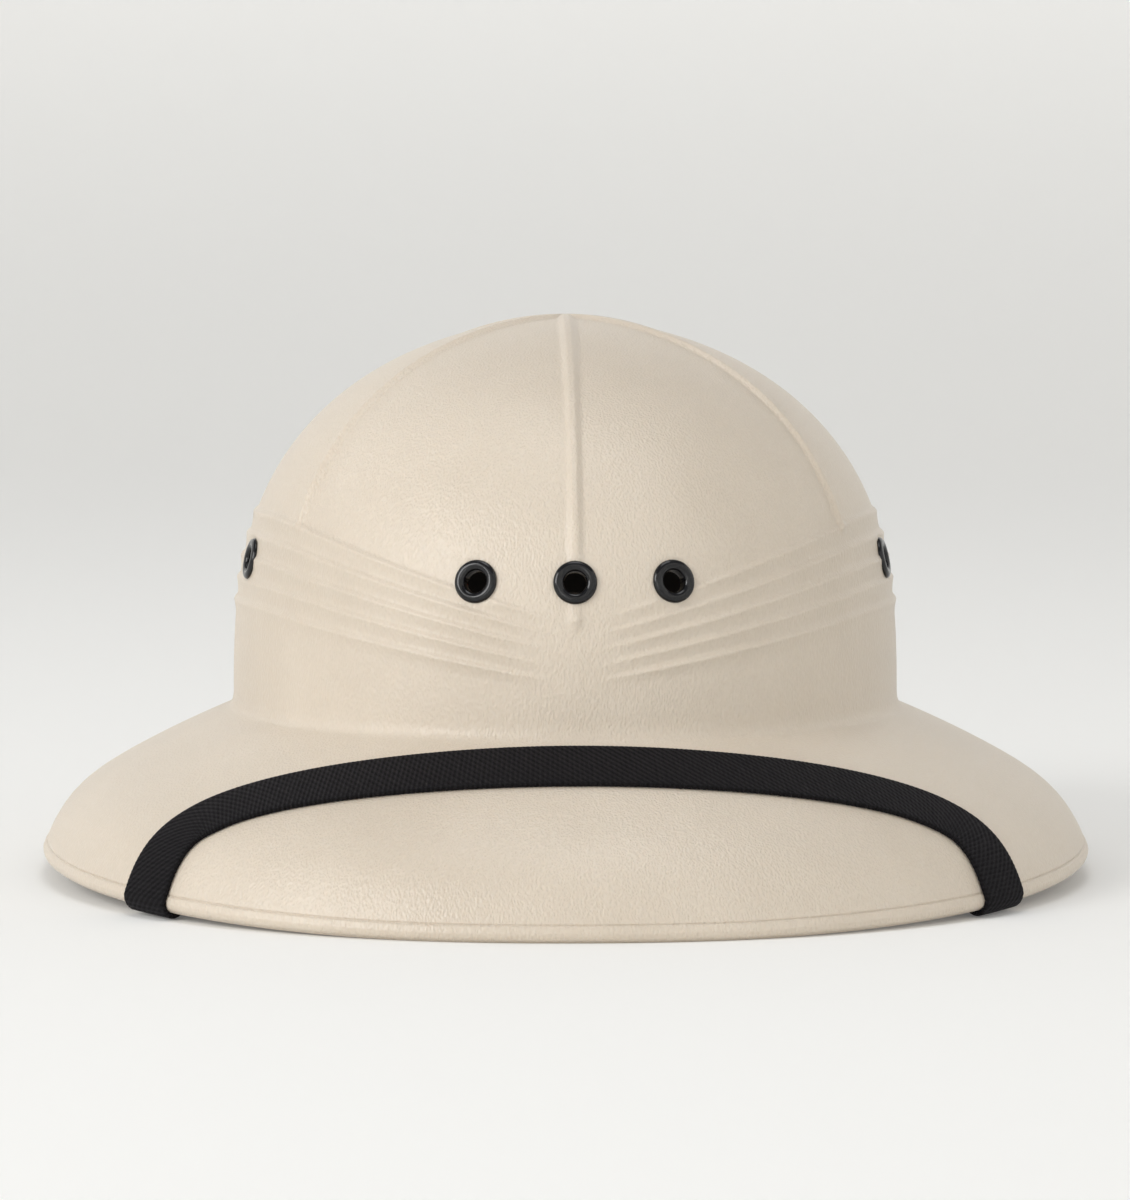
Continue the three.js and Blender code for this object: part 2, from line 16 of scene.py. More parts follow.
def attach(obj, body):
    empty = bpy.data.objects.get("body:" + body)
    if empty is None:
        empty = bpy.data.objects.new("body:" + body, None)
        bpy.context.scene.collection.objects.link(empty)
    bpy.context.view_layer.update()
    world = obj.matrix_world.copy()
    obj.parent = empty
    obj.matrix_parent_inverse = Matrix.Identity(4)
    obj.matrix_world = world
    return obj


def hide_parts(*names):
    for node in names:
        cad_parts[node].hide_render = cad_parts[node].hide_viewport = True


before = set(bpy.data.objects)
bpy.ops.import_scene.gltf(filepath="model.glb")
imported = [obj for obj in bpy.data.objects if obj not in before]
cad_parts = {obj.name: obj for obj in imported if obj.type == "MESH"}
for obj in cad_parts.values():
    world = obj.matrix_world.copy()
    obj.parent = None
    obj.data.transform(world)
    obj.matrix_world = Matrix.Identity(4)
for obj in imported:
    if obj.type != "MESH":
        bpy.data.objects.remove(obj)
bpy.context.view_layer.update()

# %% [markdown]
# The lengths below are millimetres, as a maker would write them, and one number turns them into
# Blender's metres. The front of the helmet faces -Y. An azimuth is an angle round the helmet from
# the front, growing towards +X, so a point is named by azimuth, reach from the middle and height.

# %% Units and small helpers
MM = 0.001


def place(phi, reach, z):
    return Vector((reach * sin(phi), -reach * cos(phi), z)) * MM


def lerp(a, b, t):
    return a + (b - a) * t


def smoothstep(x, low, high):
    t = min(1.0, max(0.0, (x - low) / (high - low)))
    return t * t * (3 - 2 * t)


# %% [markdown]
# The helmet rests on its rim on a pale floor. A real product shot uses a long lens from a little
# over a metre away, which keeps the brim from bulging. The photograph's own angle looks up from
# under the brim, and here a floor is in the way, so the camera keeps the side it looks from and
# stands just above the floor.

# %% Camera
CAMERA_LENS = 146.0
CAMERA_DISTANCE = 1.4316
CAMERA_AZIMUTH = radians(-1.4)
CAMERA_ELEVATION = radians(4.0)
CAMERA_TARGET = Vector((0.0, 0.0, 0.078))


def aim(thing, target):
    thing.rotation_euler = (target - thing.location).to_track_quat("-Z", "Y").to_euler()


camera_data = bpy.data.cameras.new("camera")
camera_data.lens = CAMERA_LENS
camera_data.clip_end = 30.0
camera = bpy.data.objects.new("camera", camera_data)
bpy.context.scene.collection.objects.link(camera)
camera.location = CAMERA_TARGET + CAMERA_DISTANCE * Vector((
    cos(CAMERA_ELEVATION) * sin(CAMERA_AZIMUTH),
    -cos(CAMERA_ELEVATION) * cos(CAMERA_AZIMUTH),
    sin(CAMERA_ELEVATION),
))
aim(camera, CAMERA_TARGET)
bpy.context.scene.camera = camera
print("camera at", [round(value, 3) for value in camera.location])

# %% [markdown]
# Every finish is built from nodes. One helper turns a colour as a painter writes it, in sRGB hex,
# into the linear numbers that the renderer works with. Others add a node with its settings and
# links, add noise whose cells have a given size, and fill a colour ramp.

# %% Helpers for materials


def colour(text):
    channels = [int(text[i:i + 2], 16) / 255 for i in (1, 3, 5)]
    linear = [c / 12.92 if c <= 0.04045 else ((c + 0.055) / 1.055) ** 2.4 for c in channels]
    return (*linear, 1.0)


def add_node(tree, kind, inputs=None, **settings):
    node = tree.nodes.new(kind)
    for name, value in settings.items():
        setattr(node, name, value)
    for name, value in (inputs or {}).items():
        if isinstance(value, bpy.types.NodeSocket):
            tree.links.new(value, node.inputs[name])
        else:
            node.inputs[name].default_value = value
    return node


def add_noise(tree, vector, size, detail, roughness):
    return add_node(tree, "ShaderNodeTexNoise", {
        "Vector": vector, "Scale": 1 / size, "Detail": detail, "Roughness": roughness})


def new_material(name):
    material = bpy.data.materials.new(name)
    material.use_nodes = True
    tree = material.node_tree
    shader = tree.nodes["Principled BSDF"]
    return material, tree, shader


def ramp_stops(node, stops):
    elements = node.color_ramp.elements
    for index, (position, value) in enumerate(stops):
        element = elements[index] if index < 2 else elements.new(position)
        element.position = position
        element.color = value


# %% [markdown]
# Studio. A product table is a floor that curves up into its own background, so no horizon shows.
# Spinning a quarter-round section about the vertical axis makes that sweep on every side, and the
# helmet can be looked at from anywhere. The sweep is a pale surface that glows by itself, painted
# light with no lamp behind it, dim on the floor and brighter up the walls, so the background stays
# pale.

# %% Floor and backdrop
SWEEP_FLOOR = 3.2
SWEEP_RADIUS = 1.6
SWEEP_HEIGHT = 4.2
SWEEP_STEPS = 10
SWEEP_SECTORS = 96
GLOW = (0.10, 0.42)
GLOW_HEIGHT = 1.2

bm = bmesh.new()
section = [Vector((0, 0, 0)), Vector((SWEEP_FLOOR, 0, 0))]
for step in range(1, SWEEP_STEPS + 1):
    turn = pi / 2 * step / SWEEP_STEPS
    section.append(Vector((SWEEP_FLOOR + SWEEP_RADIUS * sin(turn), 0, SWEEP_RADIUS * (1 - cos(turn)))))
section.append(Vector((SWEEP_FLOOR + SWEEP_RADIUS, 0, SWEEP_HEIGHT)))
verts = [bm.verts.new(point) for point in section]
edges = [bm.edges.new(pair) for pair in zip(verts, verts[1:])]
bmesh.ops.spin(bm, geom=verts + edges, cent=(0, 0, 0), axis=(0, 0, 1), dvec=(0, 0, 0),
               angle=2 * pi, steps=SWEEP_SECTORS, use_merge=True,
               use_normal_flip=False, use_duplicate=False)
bmesh.ops.remove_doubles(bm, verts=bm.verts, dist=1e-5)
bmesh.ops.recalc_face_normals(bm, faces=bm.faces)
sweep_mesh = bpy.data.meshes.new("studio_sweep")
bm.to_mesh(sweep_mesh)
bm.free()
sweep_mesh.shade_smooth()
sweep = bpy.data.objects.new("studio_sweep", sweep_mesh)
bpy.context.scene.collection.objects.link(sweep)

glowing_sweep_finish, tree, shader = new_material("self_glowing_studio_sweep")
height = add_node(tree, "ShaderNodeSeparateXYZ", {
    "Vector": add_node(tree, "ShaderNodeTexCoord").outputs["Object"]})
# The glow is painted light: emission that rises with height, dim on the floor and bright on the walls.
glow = add_node(tree, "ShaderNodeMapRange", {
    "Value": height.outputs["Z"], "From Min": 0.0, "From Max": GLOW_HEIGHT,
    "To Min": GLOW[0], "To Max": GLOW[1]}, interpolation_type="SMOOTHSTEP")
shader.inputs["Base Color"].default_value = colour("#ECECEA")
shader.inputs["Roughness"].default_value = 0.9
shader.inputs["Specular IOR Level"].default_value = 0.2
shader.inputs["Emission Color"].default_value = colour("#FFFDFA")
tree.links.new(glow.outputs["Result"], shader.inputs["Emission Strength"])
sweep_mesh.materials.append(glowing_sweep_finish)
print("floor faces:", len(sweep_mesh.polygons))

# %% [markdown]
# Lamps. Large soft lamps stand in for softboxes: a strong one at the front left, which models the
# crown from left to right, a very weak one at the right, one above and one low in front. Each is
# a position, a size and a power in watts. A dim sky lifts the shadows a little.

# %% Lamps and sky
LAMPS = {
    "key": ((-2.0, -1.5, 1.3), 1.2, 29),
    "fill": ((1.9, -1.3, 0.6), 1.2, 0.2),
    "top": ((0.1, -0.3, 2.4), 1.2, 11),
    "front": ((-0.7, -2.4, 0.4), 1.0, 4.5),
}
LAMP_TARGET = Vector((0, 0, 0.08))
SKY_STRENGTH = 0.3

for name, (position, size, power) in LAMPS.items():
    lamp_data = bpy.data.lights.new(f"lamp_{name}", "AREA")
    lamp_data.shape = "SQUARE"
    lamp_data.size = size
    lamp_data.energy = power
    lamp = bpy.data.objects.new(f"lamp_{name}", lamp_data)
    lamp.location = position
    aim(lamp, LAMP_TARGET)
    bpy.context.scene.collection.objects.link(lamp)

world = bpy.data.worlds.new("studio_air")
world.use_nodes = True
world.node_tree.nodes["Background"].inputs["Color"].default_value = colour("#FBFCFF")
world.node_tree.nodes["Background"].inputs["Strength"].default_value = SKY_STRENGTH
bpy.context.scene.world = world
bpy.context.scene.view_settings.view_transform = "Standard"
print("lamps:", ", ".join(LAMPS))

# %% [markdown]
# The shell's form. The crown is an oval dome that stands almost upright at its foot, and the brim
# is a slope that turns down at the edge into a round bead. Each is a short formula of the azimuth
# and a share between 0 and 1, the same ones that the measured model was made from. A section
# point is a reach and a height, with the direction that points out of the wall.

# %% Form of the crown and brim
CROWN_HALF_WIDTH = 97.3
CROWN_HALF_LENGTH = 116.8
CROWN_FOOT_Z = 48.2
CROWN_HEIGHT = 112.6
CROWN_ROUNDNESS = 1.9
CROWN_SHOULDER = 2.95
BEAD_HALF_WIDTH = 149.6
BEAD_HALF_LENGTH = 167.1
RIM_SQUARENESS = 2.15
BEAD_RADIUS = 2.9
BEAD_FLAT_ANGLE = radians(20)
SIDE_LIFT = 5.25
SIDE_LIFT_POWER = 1.7
REST_AZIMUTH = radians(12)
SHELL_WALL = 2.0
FILLET_RISE = 4.0
FILLET_RUN = 2.5
FALL_STRAIGHT = 0.56
FALL_BOWED = 0.16
FALL_TURNED = 0.28
FALL_TURN_POWER = 10


def oval_reach(phi, half_width, half_length):
    return 1 / hypot(sin(phi) / half_width, cos(phi) / half_length)


def crown_reach(phi):
    return oval_reach(phi, CROWN_HALF_WIDTH, CROWN_HALF_LENGTH)


def bead_reach(phi):
    across = (abs(sin(phi)) / BEAD_HALF_WIDTH) ** RIM_SQUARENESS
    along = (abs(cos(phi)) / BEAD_HALF_LENGTH) ** RIM_SQUARENESS
    return (across + along) ** (-1 / RIM_SQUARENESS)


def bead_height(phi):
    level = sin(REST_AZIMUTH)
    beyond = max(0.0, abs(sin(phi)) - level) / (1 - level)
    return BEAD_RADIUS * cos(BEAD_FLAT_ANGLE) + SIDE_LIFT * beyond ** SIDE_LIFT_POWER


def brim_run(phi):
    return bead_reach(phi) + BEAD_RADIUS - crown_reach(phi)


def crown_point(phi, share):
    foot = crown_reach(phi)
    spread = max(0.0, 1 - share ** CROWN_SHOULDER) ** (1 / CROWN_ROUNDNESS)
    out = CROWN_ROUNDNESS / foot * spread ** (CROWN_ROUNDNESS - 1)
    up = CROWN_SHOULDER / CROWN_HEIGHT * share ** (CROWN_SHOULDER - 1)
    point = Vector((foot * spread, CROWN_FOOT_Z + CROWN_HEIGHT * share))
    return point, Vector((out, up)).normalized()


def brim_point(phi, share):
    run = brim_run(phi)
    drop = CROWN_FOOT_Z - bead_height(phi)
    fall = FALL_STRAIGHT * share + FALL_BOWED * share ** 2 + FALL_TURNED * share ** FALL_TURN_POWER
    steep = (FALL_STRAIGHT + 2 * FALL_BOWED * share
             + FALL_TURN_POWER * FALL_TURNED * share ** (FALL_TURN_POWER - 1))
    point = Vector((crown_reach(phi) + run * share, CROWN_FOOT_Z - drop * fall))
    return point, Vector((drop * steep, run)).normalized()


def fillet_point(phi, t):
    start = crown_point(phi, FILLET_RISE / CROWN_HEIGHT)[0]
    end = brim_point(phi, FILLET_RUN / brim_run(phi))[0]
    corner = Vector((crown_reach(phi), CROWN_FOOT_Z))
    point = start * (1 - t) ** 2 + corner * 2 * t * (1 - t) + end * t ** 2
    slope = (corner - start) * (1 - t) + (end - corner) * t
    return point, Vector((-slope.y, slope.x)).normalized()


def bead_point(phi, angle, distance=BEAD_RADIUS):
    out = Vector((cos(angle), sin(angle)))
    return Vector((bead_reach(phi), bead_height(phi))) + out * distance, out


print("brim runs out", round(brim_run(0)), "mm at the front,", round(brim_run(pi / 2)), "mm at the side")

# %% [markdown]
# Relief. The mould carries what a cloth cover would show on an old helmet: six ridges where its
# panels meet, from a button at the apex down to the wound cloth, and five folds of that cloth
# round the crown. A fold's upper edge stands proud in a narrow step, and its face falls back
# slowly to the next one, so it catches light in a thin line with a soft dark band under it. The
# folds die away at the front and back. Each is a small height added along the wall's direction.

# %% Relief of the ridges and folds
RIDGE_AZIMUTHS = [radians(a) for a in (0, 52, 128, 180, 232, 308)]
RIDGE_HEIGHT = 1.3
RIDGE_TOP = 0.5
RIDGE_FOOT = (3.2, 2.5)
RIDGE_NARROWS = (25.0, 100.0)
RIDGE_END = (-0.025, 0.03)
FOLD_COUNT = 5
FOLD_RELIEF = 0.88
FOLD_STEP = 0.3
FOLD_FALL = 1.7
FOLD_SWEEP = 1.3
FOLD_FADE = (radians(1.5), radians(13))
HIGHEST_FOLD = (0.271, 0.5)
LOWEST_FOLD = (0.131, 0.274)


def fold_share(phi, fold):
    sweep = sin(min(pi / 2, FOLD_SWEEP * asin(min(1.0, abs(sin(phi))))))
    down = fold / (FOLD_COUNT - 1)
    centre = lerp(HIGHEST_FOLD[0], LOWEST_FOLD[0], down)
    side = lerp(HIGHEST_FOLD[1], LOWEST_FOLD[1], down)
    return lerp(centre, side, sweep)


def fold_pitch(phi):
    return (fold_share(phi, 0) - fold_share(phi, FOLD_COUNT - 1)) / (FOLD_COUNT - 1)


def fold_height(phi, share):
    below = (fold_share(phi, 0) - share) / fold_pitch(phi)
    if below <= -FOLD_STEP or below >= FOLD_COUNT - FOLD_STEP:
        return 0.0
    since = (below + FOLD_STEP) % 1.0
    if since < FOLD_STEP:
        height = smoothstep(since, 0, FOLD_STEP)
    else:
        height = (1 - (since - FOLD_STEP) / (1 - FOLD_STEP)) ** FOLD_FALL
    fade = smoothstep(asin(min(1.0, abs(sin(phi)))), *FOLD_FADE)
    return FOLD_RELIEF * height * fade


def ridge_height(phi, share):
    reach = crown_point(phi, share)[0].x
    foot = lerp(*RIDGE_FOOT, smoothstep(reach, *RIDGE_NARROWS))
    height = 0.0
    for azimuth in RIDGE_AZIMUTHS:
        if cos(phi - azimuth) > 0 or reach < foot:
            aside = abs(reach * sin(phi - azimuth))
            height = max(height, 1 - smoothstep(aside, RIDGE_TOP, foot))
    end = smoothstep(share - fold_share(phi, 0), *RIDGE_END)
    return RIDGE_HEIGHT * height * end


print("fold pitch:", round(fold_pitch(pi / 2) * CROWN_HEIGHT, 1), "mm at the side")

# %% [markdown]
# Eyelets are pressed through the wall for air: three at the front, three at the back and one on
# each side. Their places come before the shell, because the mould is flat where each one sits,
# and because the shell needs a hole there.

# %% Places of the eyelets
EYELETS = {
    "eyelet_front_centre": (0, 0.377),
    "eyelet_front_right": (13.9, 0.377),
    "eyelet_side_right": (72.2, 0.39),
    "eyelet_rear_right": (166.1, 0.377),
    "eyelet_rear_centre": (180, 0.377),
    "eyelet_rear_left": (193.9, 0.377),
    "eyelet_side_left": (287.8, 0.39),
    "eyelet_front_left": (346.1, 0.377),
}
EYELET_HOLE = 3.1
EYELET_BARREL = 3.7
EYELET_SEAT = (5.9, 7.0)
SHELL_HOLE = 4.0


def eyelet_frame(azimuth, share):
    phi = radians(azimuth)
    point = crown_point(phi, share)[0]
    centre = place(phi, point.x, point.y) / MM
    spread = (1 - share ** CROWN_SHOULDER) ** (1 / CROWN_ROUNDNESS)
    pull = CROWN_ROUNDNESS * spread ** (CROWN_ROUNDNESS - 2)
    normal = Vector((
        pull * centre.x / CROWN_HALF_WIDTH ** 2,
        pull * centre.y / CROWN_HALF_LENGTH ** 2,
        CROWN_SHOULDER / CROWN_HEIGHT * share ** (CROWN_SHOULDER - 1),
    ))
    return centre, normal.normalized()


eyelet_frames = {name: eyelet_frame(*spot) for name, spot in EYELETS.items()}


def seat_fade(position):
    nearest = min((position - centre).length for centre, _ in eyelet_frames.values())
    return smoothstep(nearest, *EYELET_SEAT)


print("eyelets:", len(eyelet_frames))

# %% [markdown]
# The edge of the brim. A sharp groove runs round it, two millimetres above the middle of the
# bead, where the mould's two halves met. The bead under the groove swells a little, as a rolled
# edge does, and a second faint groove under it marks where the grained skin ends.

# %% Relief of the edge
PARTING_RISE = 2.1
PARTING_DEPTH = 0.34
PARTING_WIDTH = 0.2
SWELL = 0.2
SWELL_START = (0.2, 0.75)
SWELL_END = (radians(20), radians(62))
SKIN_END = radians(52)
SKIN_DEPTH = 0.12
SKIN_WIDTH = radians(5)


def edge_relief(rise):
    groove = PARTING_DEPTH * math.exp(-((rise - PARTING_RISE) / PARTING_WIDTH) ** 2)
    return SWELL * smoothstep(PARTING_RISE - rise, *SWELL_START) - groove


def bead_relief(angle):
    groove = SKIN_DEPTH * math.exp(-((angle + SKIN_END) / SKIN_WIDTH) ** 2)
    return SWELL * (1 - smoothstep(-angle, *SWELL_END)) - groove


print("parting line", round(bead_height(0) + PARTING_RISE, 1), "mm above the floor at the front")

# %% [markdown]
# Rows of the shell. One section is drawn from the apex down the outside, round the bead and back
# up the inside to the apex. Its rows are close together where the folds, the parting line and the
# bead need them. A row is a zone and a share of that zone, so the same row can be worked out at
# every azimuth. Two of the rows are kept by number, because the finish changes there.

# %% Rows of the section
ROW_COUNTS = {
    "cap": 37, "folds": 52, "foot": 11, "fillet": 8, "brim": 22, "edge": 12, "lip": 30,
    "bead": 36, "inner_brim": 20, "inner_fillet": 6, "inner_crown": 26,
}
EDGE_RUN = 8.0
LIP_RUN = 1.4
BEAD_TURN = radians(-235)
INNER_BRIM_START = 0.965
FOLD_ZONE = (-0.4, FOLD_COUNT - FOLD_STEP + 0.1)


def dome_share(lowest, u):
    return cos(acos(lowest ** (CROWN_SHOULDER / 2)) * u) ** (2 / CROWN_SHOULDER)


def shell_point(phi, zone, u):
    top = fold_share(phi, 0) - FOLD_ZONE[0] * fold_pitch(phi)
    bottom = fold_share(phi, 0) - FOLD_ZONE[1] * fold_pitch(phi)
    foot = FILLET_RISE / CROWN_HEIGHT
    if zone in ("cap", "folds", "foot"):
        shares = {"cap": dome_share(top, u), "folds": lerp(top, bottom, u), "foot": lerp(bottom, foot, u)}
        share = shares[zone]
        point, out = crown_point(phi, share)
        height = ridge_height(phi, share) + fold_height(phi, share)
        height *= seat_fade(place(phi, point.x, point.y) / MM)
        return point + out * height
    if zone == "fillet":
        return fillet_point(phi, u)[0]
    if zone in ("brim", "edge", "lip"):
        run = brim_run(phi)
        spans = {"brim": (FILLET_RUN, run - EDGE_RUN), "edge": (run - EDGE_RUN, run - LIP_RUN),
                 "lip": (run - LIP_RUN, run)}
        start, end = spans[zone]
        point, out = brim_point(phi, lerp(start, end, u) / run)
        return point + out * edge_relief(point.y - bead_height(phi))
    if zone == "bead":
        return bead_point(phi, BEAD_TURN * u, BEAD_RADIUS + bead_relief(BEAD_TURN * u))[0]
    if zone == "inner_brim":
        point, out = brim_point(phi, lerp(INNER_BRIM_START, FILLET_RUN / brim_run(phi), u))
    elif zone == "inner_fillet":
        point, out = fillet_point(phi, 1 - u)
    else:
        point, out = crown_point(phi, dome_share(foot, 1 - u))
    return point - out * SHELL_WALL


shell_rows = [("cap", 0.0)] + [
    (zone, (step + 1) / count) for zone, count in ROW_COUNTS.items() for step in range(count)
]
first_edge = shell_rows.index(("edge", 1.0)) + ROW_COUNTS["lip"] // 2
first_plain = next(row for row, (zone, u) in enumerate(shell_rows)
                   if zone == "bead" and BEAD_TURN * u < -SKIN_END)
print("rows in the section:", len(shell_rows))

# %% [markdown]
# Spinning the section. Spin sweeps the drawn section about the vertical axis, as a potter's
# template would, and gives a round helmet. Each point remembers its row, and its azimuth is known
# from where it stands, so it can then move to its own place on the oval form. The columns are
# drawn together near the ridges, which need them most. The poles are merged and the faces turned
# outwards before anything else is done.

# %% Shell mesh
SECTOR_COLUMNS = 56
COLUMN_GATHER = 0.12

bm = bmesh.new()
row_layer = bm.verts.layers.int.new("row")
verts = []
for row, (zone, u) in enumerate(shell_rows):
    point = shell_point(0, zone, u)
    vert = bm.verts.new((0, -max(0.0, point.x), point.y))
    vert[row_layer] = row
    verts.append(vert)
edges = [bm.edges.new(pair) for pair in zip(verts, verts[1:])]
bmesh.ops.spin(bm, geom=verts + edges, cent=(0, 0, 0), axis=(0, 0, 1), dvec=(0, 0, 0), angle=2 * pi,
               steps=SECTOR_COLUMNS * len(RIDGE_AZIMUTHS), use_merge=True,
               use_normal_flip=False, use_duplicate=False)
poles = [vert for vert in bm.verts if vert[row_layer] in (0, len(shell_rows) - 1)]
bmesh.ops.remove_doubles(bm, verts=poles, dist=0.01)
bmesh.ops.recalc_face_normals(bm, faces=bm.faces)


def gathered_azimuth(x, y):
    turn = (atan2(x, -y) / (2 * pi)) % 1.0 * len(RIDGE_AZIMUTHS)
    sector = int(turn + 1e-6) % len(RIDGE_AZIMUTHS)
    u = max(0.0, turn - sector)
    start = RIDGE_AZIMUTHS[sector]
    end = RIDGE_AZIMUTHS[sector + 1] if sector + 1 < len(RIDGE_AZIMUTHS) else 2 * pi
    return lerp(start, end, u - COLUMN_GATHER * sin(2 * pi * u))


for vert in bm.verts:
    zone, u = shell_rows[vert[row_layer]]
    phi = gathered_azimuth(vert.co.x, vert.co.y)
    point = shell_point(phi, zone, u)
    vert.co = place(phi, point.x, max(0.0, point.y))
for face in bm.faces:
    first = min(vert[row_layer] for vert in face.verts)
    face.material_index = (first >= first_edge) + (first >= first_plain)
shell_mesh = bpy.data.meshes.new("helmet_shell")
bm.to_mesh(shell_mesh)
bm.free()
shell_mesh.shade_smooth()
shell = bpy.data.objects.new("helmet_shell", shell_mesh)
bpy.context.scene.collection.objects.link(shell)
print("shell faces:", len(shell_mesh.polygons))

# %% [markdown]
# Drilling. The eyelet holes are cut with one boolean: eight short rods in one cutter mesh, turned
# along each eyelet's own direction. The result is kept as the shell's mesh, and the cutter goes.

# %% Holes for the eyelets
DRILL_SIDES = 32
DRILL_LENGTH = 12.0

bm = bmesh.new()
for centre, normal in eyelet_frames.values():
    turn = normal.to_track_quat("Z", "Y").to_matrix().to_4x4()
    bmesh.ops.create_cone(bm, cap_ends=True, cap_tris=False, segments=DRILL_SIDES,
                          radius1=SHELL_HOLE * MM, radius2=SHELL_HOLE * MM, depth=DRILL_LENGTH * MM,
                          matrix=Matrix.Translation(centre * MM) @ turn)
cutter_mesh = bpy.data.meshes.new("drill")
bm.to_mesh(cutter_mesh)
bm.free()
cutter = bpy.data.objects.new("drill", cutter_mesh)
bpy.context.scene.collection.objects.link(cutter)
drill = shell.modifiers.new("drill", "BOOLEAN")
drill.operation = "DIFFERENCE"
drill.solver = "EXACT"
drill.object = cutter
bpy.context.view_layer.update()
depsgraph = bpy.context.evaluated_depsgraph_get()
drilled = bpy.data.meshes.new_from_object(shell.evaluated_get(depsgraph))
shell.modifiers.clear()
shell.data = drilled
drilled.name = "helmet_shell"
drilled.shade_smooth()
bpy.data.objects.remove(cutter)
print("drilled shell faces:", len(drilled.polygons))

# %% [markdown]
# The shell's finish. Such shells are moulded from polyethylene, a waxy plastic coloured right
# through, in a tool whose outside face carries a fine leather grain: short wavy furrows about a
# millimetre apart, running up and down. The wax gives a broad soft sheen, and the grain breaks
# it up. On the bead the furrows are shallower. The inside face of the tool is plain, so it has
# almost no grain. Its colour is a little darker and warmer than the outside's: painted shade and
# warm bounce light for the inside of the shell.
# The grain is a stretched cell pattern, bent by noise, that drives bump and a trace of colour.

# %% Grained and plain polyethylene
GRAIN_WIDTH = 0.64
GRAIN_LENGTH = 1.4
GRAIN_WANDER = 6.0
GRAIN_BEND = 1.6
FINE_SIZE = 0.5
FINE_SHARE = 0.35
CLOUD_SIZE = 70.0
TINT_SHARE = 0.22
GLOSS_SPREAD = 0.05
SHELL_IOR = 1.51


def polyethylene(name, base, shade, grain_depth, roughness):
    material, tree, shader = new_material(name)
    place_of = add_node(tree, "ShaderNodeTexCoord").outputs["Object"]
    wander = add_noise(tree, place_of, GRAIN_WANDER * MM, 2.0, 0.5)
    bent = add_node(tree, "ShaderNodeVectorMath", {
        0: wander.outputs["Color"], 1: [GRAIN_BEND * MM] * 3, 2: place_of},
        operation="MULTIPLY_ADD")
    across = 1 / (GRAIN_WIDTH * MM)
    stretched = add_node(tree, "ShaderNodeMapping", {
        "Vector": bent.outputs["Vector"], "Scale": (across, across, 1 / (GRAIN_LENGTH * MM))})
    cells = add_node(tree, "ShaderNodeTexVoronoi", {
        "Vector": stretched.outputs["Vector"], "Scale": 1.0, "Randomness": 1.0, "Smoothness": 0.6},
        feature="SMOOTH_F1")
    fine = add_noise(tree, place_of, FINE_SIZE * MM, 2.0, 0.6)
    grain = add_node(tree, "ShaderNodeMath", {
        0: fine.outputs["Fac"], 1: FINE_SHARE, 2: cells.outputs["Distance"]},
        operation="MULTIPLY_ADD")
    bump = add_node(tree, "ShaderNodeBump", {
        "Height": grain.outputs["Value"], "Strength": 1.0, "Distance": grain_depth * MM})
    cloud = add_noise(tree, place_of, CLOUD_SIZE * MM, 3.0, 0.55)
    tint = add_node(tree, "ShaderNodeMath", {
        0: grain.outputs["Value"], 1: TINT_SHARE, 2: cloud.outputs["Fac"]},
        operation="MULTIPLY_ADD")
    hue = add_node(tree, "ShaderNodeValToRGB", {"Fac": tint.outputs["Value"]})
    ramp_stops(hue, [(0.3, colour(shade)), (0.8, colour(base))])
    gloss = add_node(tree, "ShaderNodeMapRange", {
        "Value": cloud.outputs["Fac"], "From Min": 0.3, "From Max": 0.7,
        "To Min": roughness - GLOSS_SPREAD, "To Max": roughness + GLOSS_SPREAD})
    tree.links.new(hue.outputs["Color"], shader.inputs["Base Color"])
    tree.links.new(gloss.outputs["Result"], shader.inputs["Roughness"])
    tree.links.new(bump.outputs["Normal"], shader.inputs["Normal"])
    shader.inputs["IOR"].default_value = SHELL_IOR
    shader.inputs["Subsurface Weight"].default_value = 0.12
    shader.inputs["Subsurface Radius"].default_value = (1.0, 0.72, 0.5)
    shader.inputs["Subsurface Scale"].default_value = 0.0015
    return material


grained = polyethylene("grained_polyethylene", "#D5C9B9", "#C8BBAA", 0.18, 0.38)
edge = polyethylene("lightly_grained_polyethylene", "#D5C9B9", "#C8BBAA", 0.05, 0.38)
# The plain finish, under the bead and inside the shell, is painted darker and warmer: painted shade and
# warm bounce light.
plain_painted_shade = polyethylene("plain_polyethylene_painted_shade", "#CEC1B0", "#C7B9A6", 0.03, 0.46)
drilled.materials.clear()
for finish in (grained, edge, plain_painted_shade):
    drilled.materials.append(finish)
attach(shell, "root")
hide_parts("shell")
print("shell finishes:", ", ".join(finish.name for finish in drilled.materials))

# %% [markdown]
# Round fittings. An eyelet and a rivet are both turned shapes, so one helper serves: it draws the
# half section beside the axis, spins it, closes the seam, and stands it along a direction on the
# helmet. A real eyelet is a brass tube whose rim is rolled into a round lip; a small washer
# grips it on the inside.

# %% Turned pieces
TURN_STEPS = 56


def link_piece(name, mesh, node, material):
    piece = bpy.data.objects.new(name, mesh)
    bpy.context.scene.collection.objects.link(piece)
    mesh.materials.append(material)
    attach(piece, "root")
    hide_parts(node)
    return piece


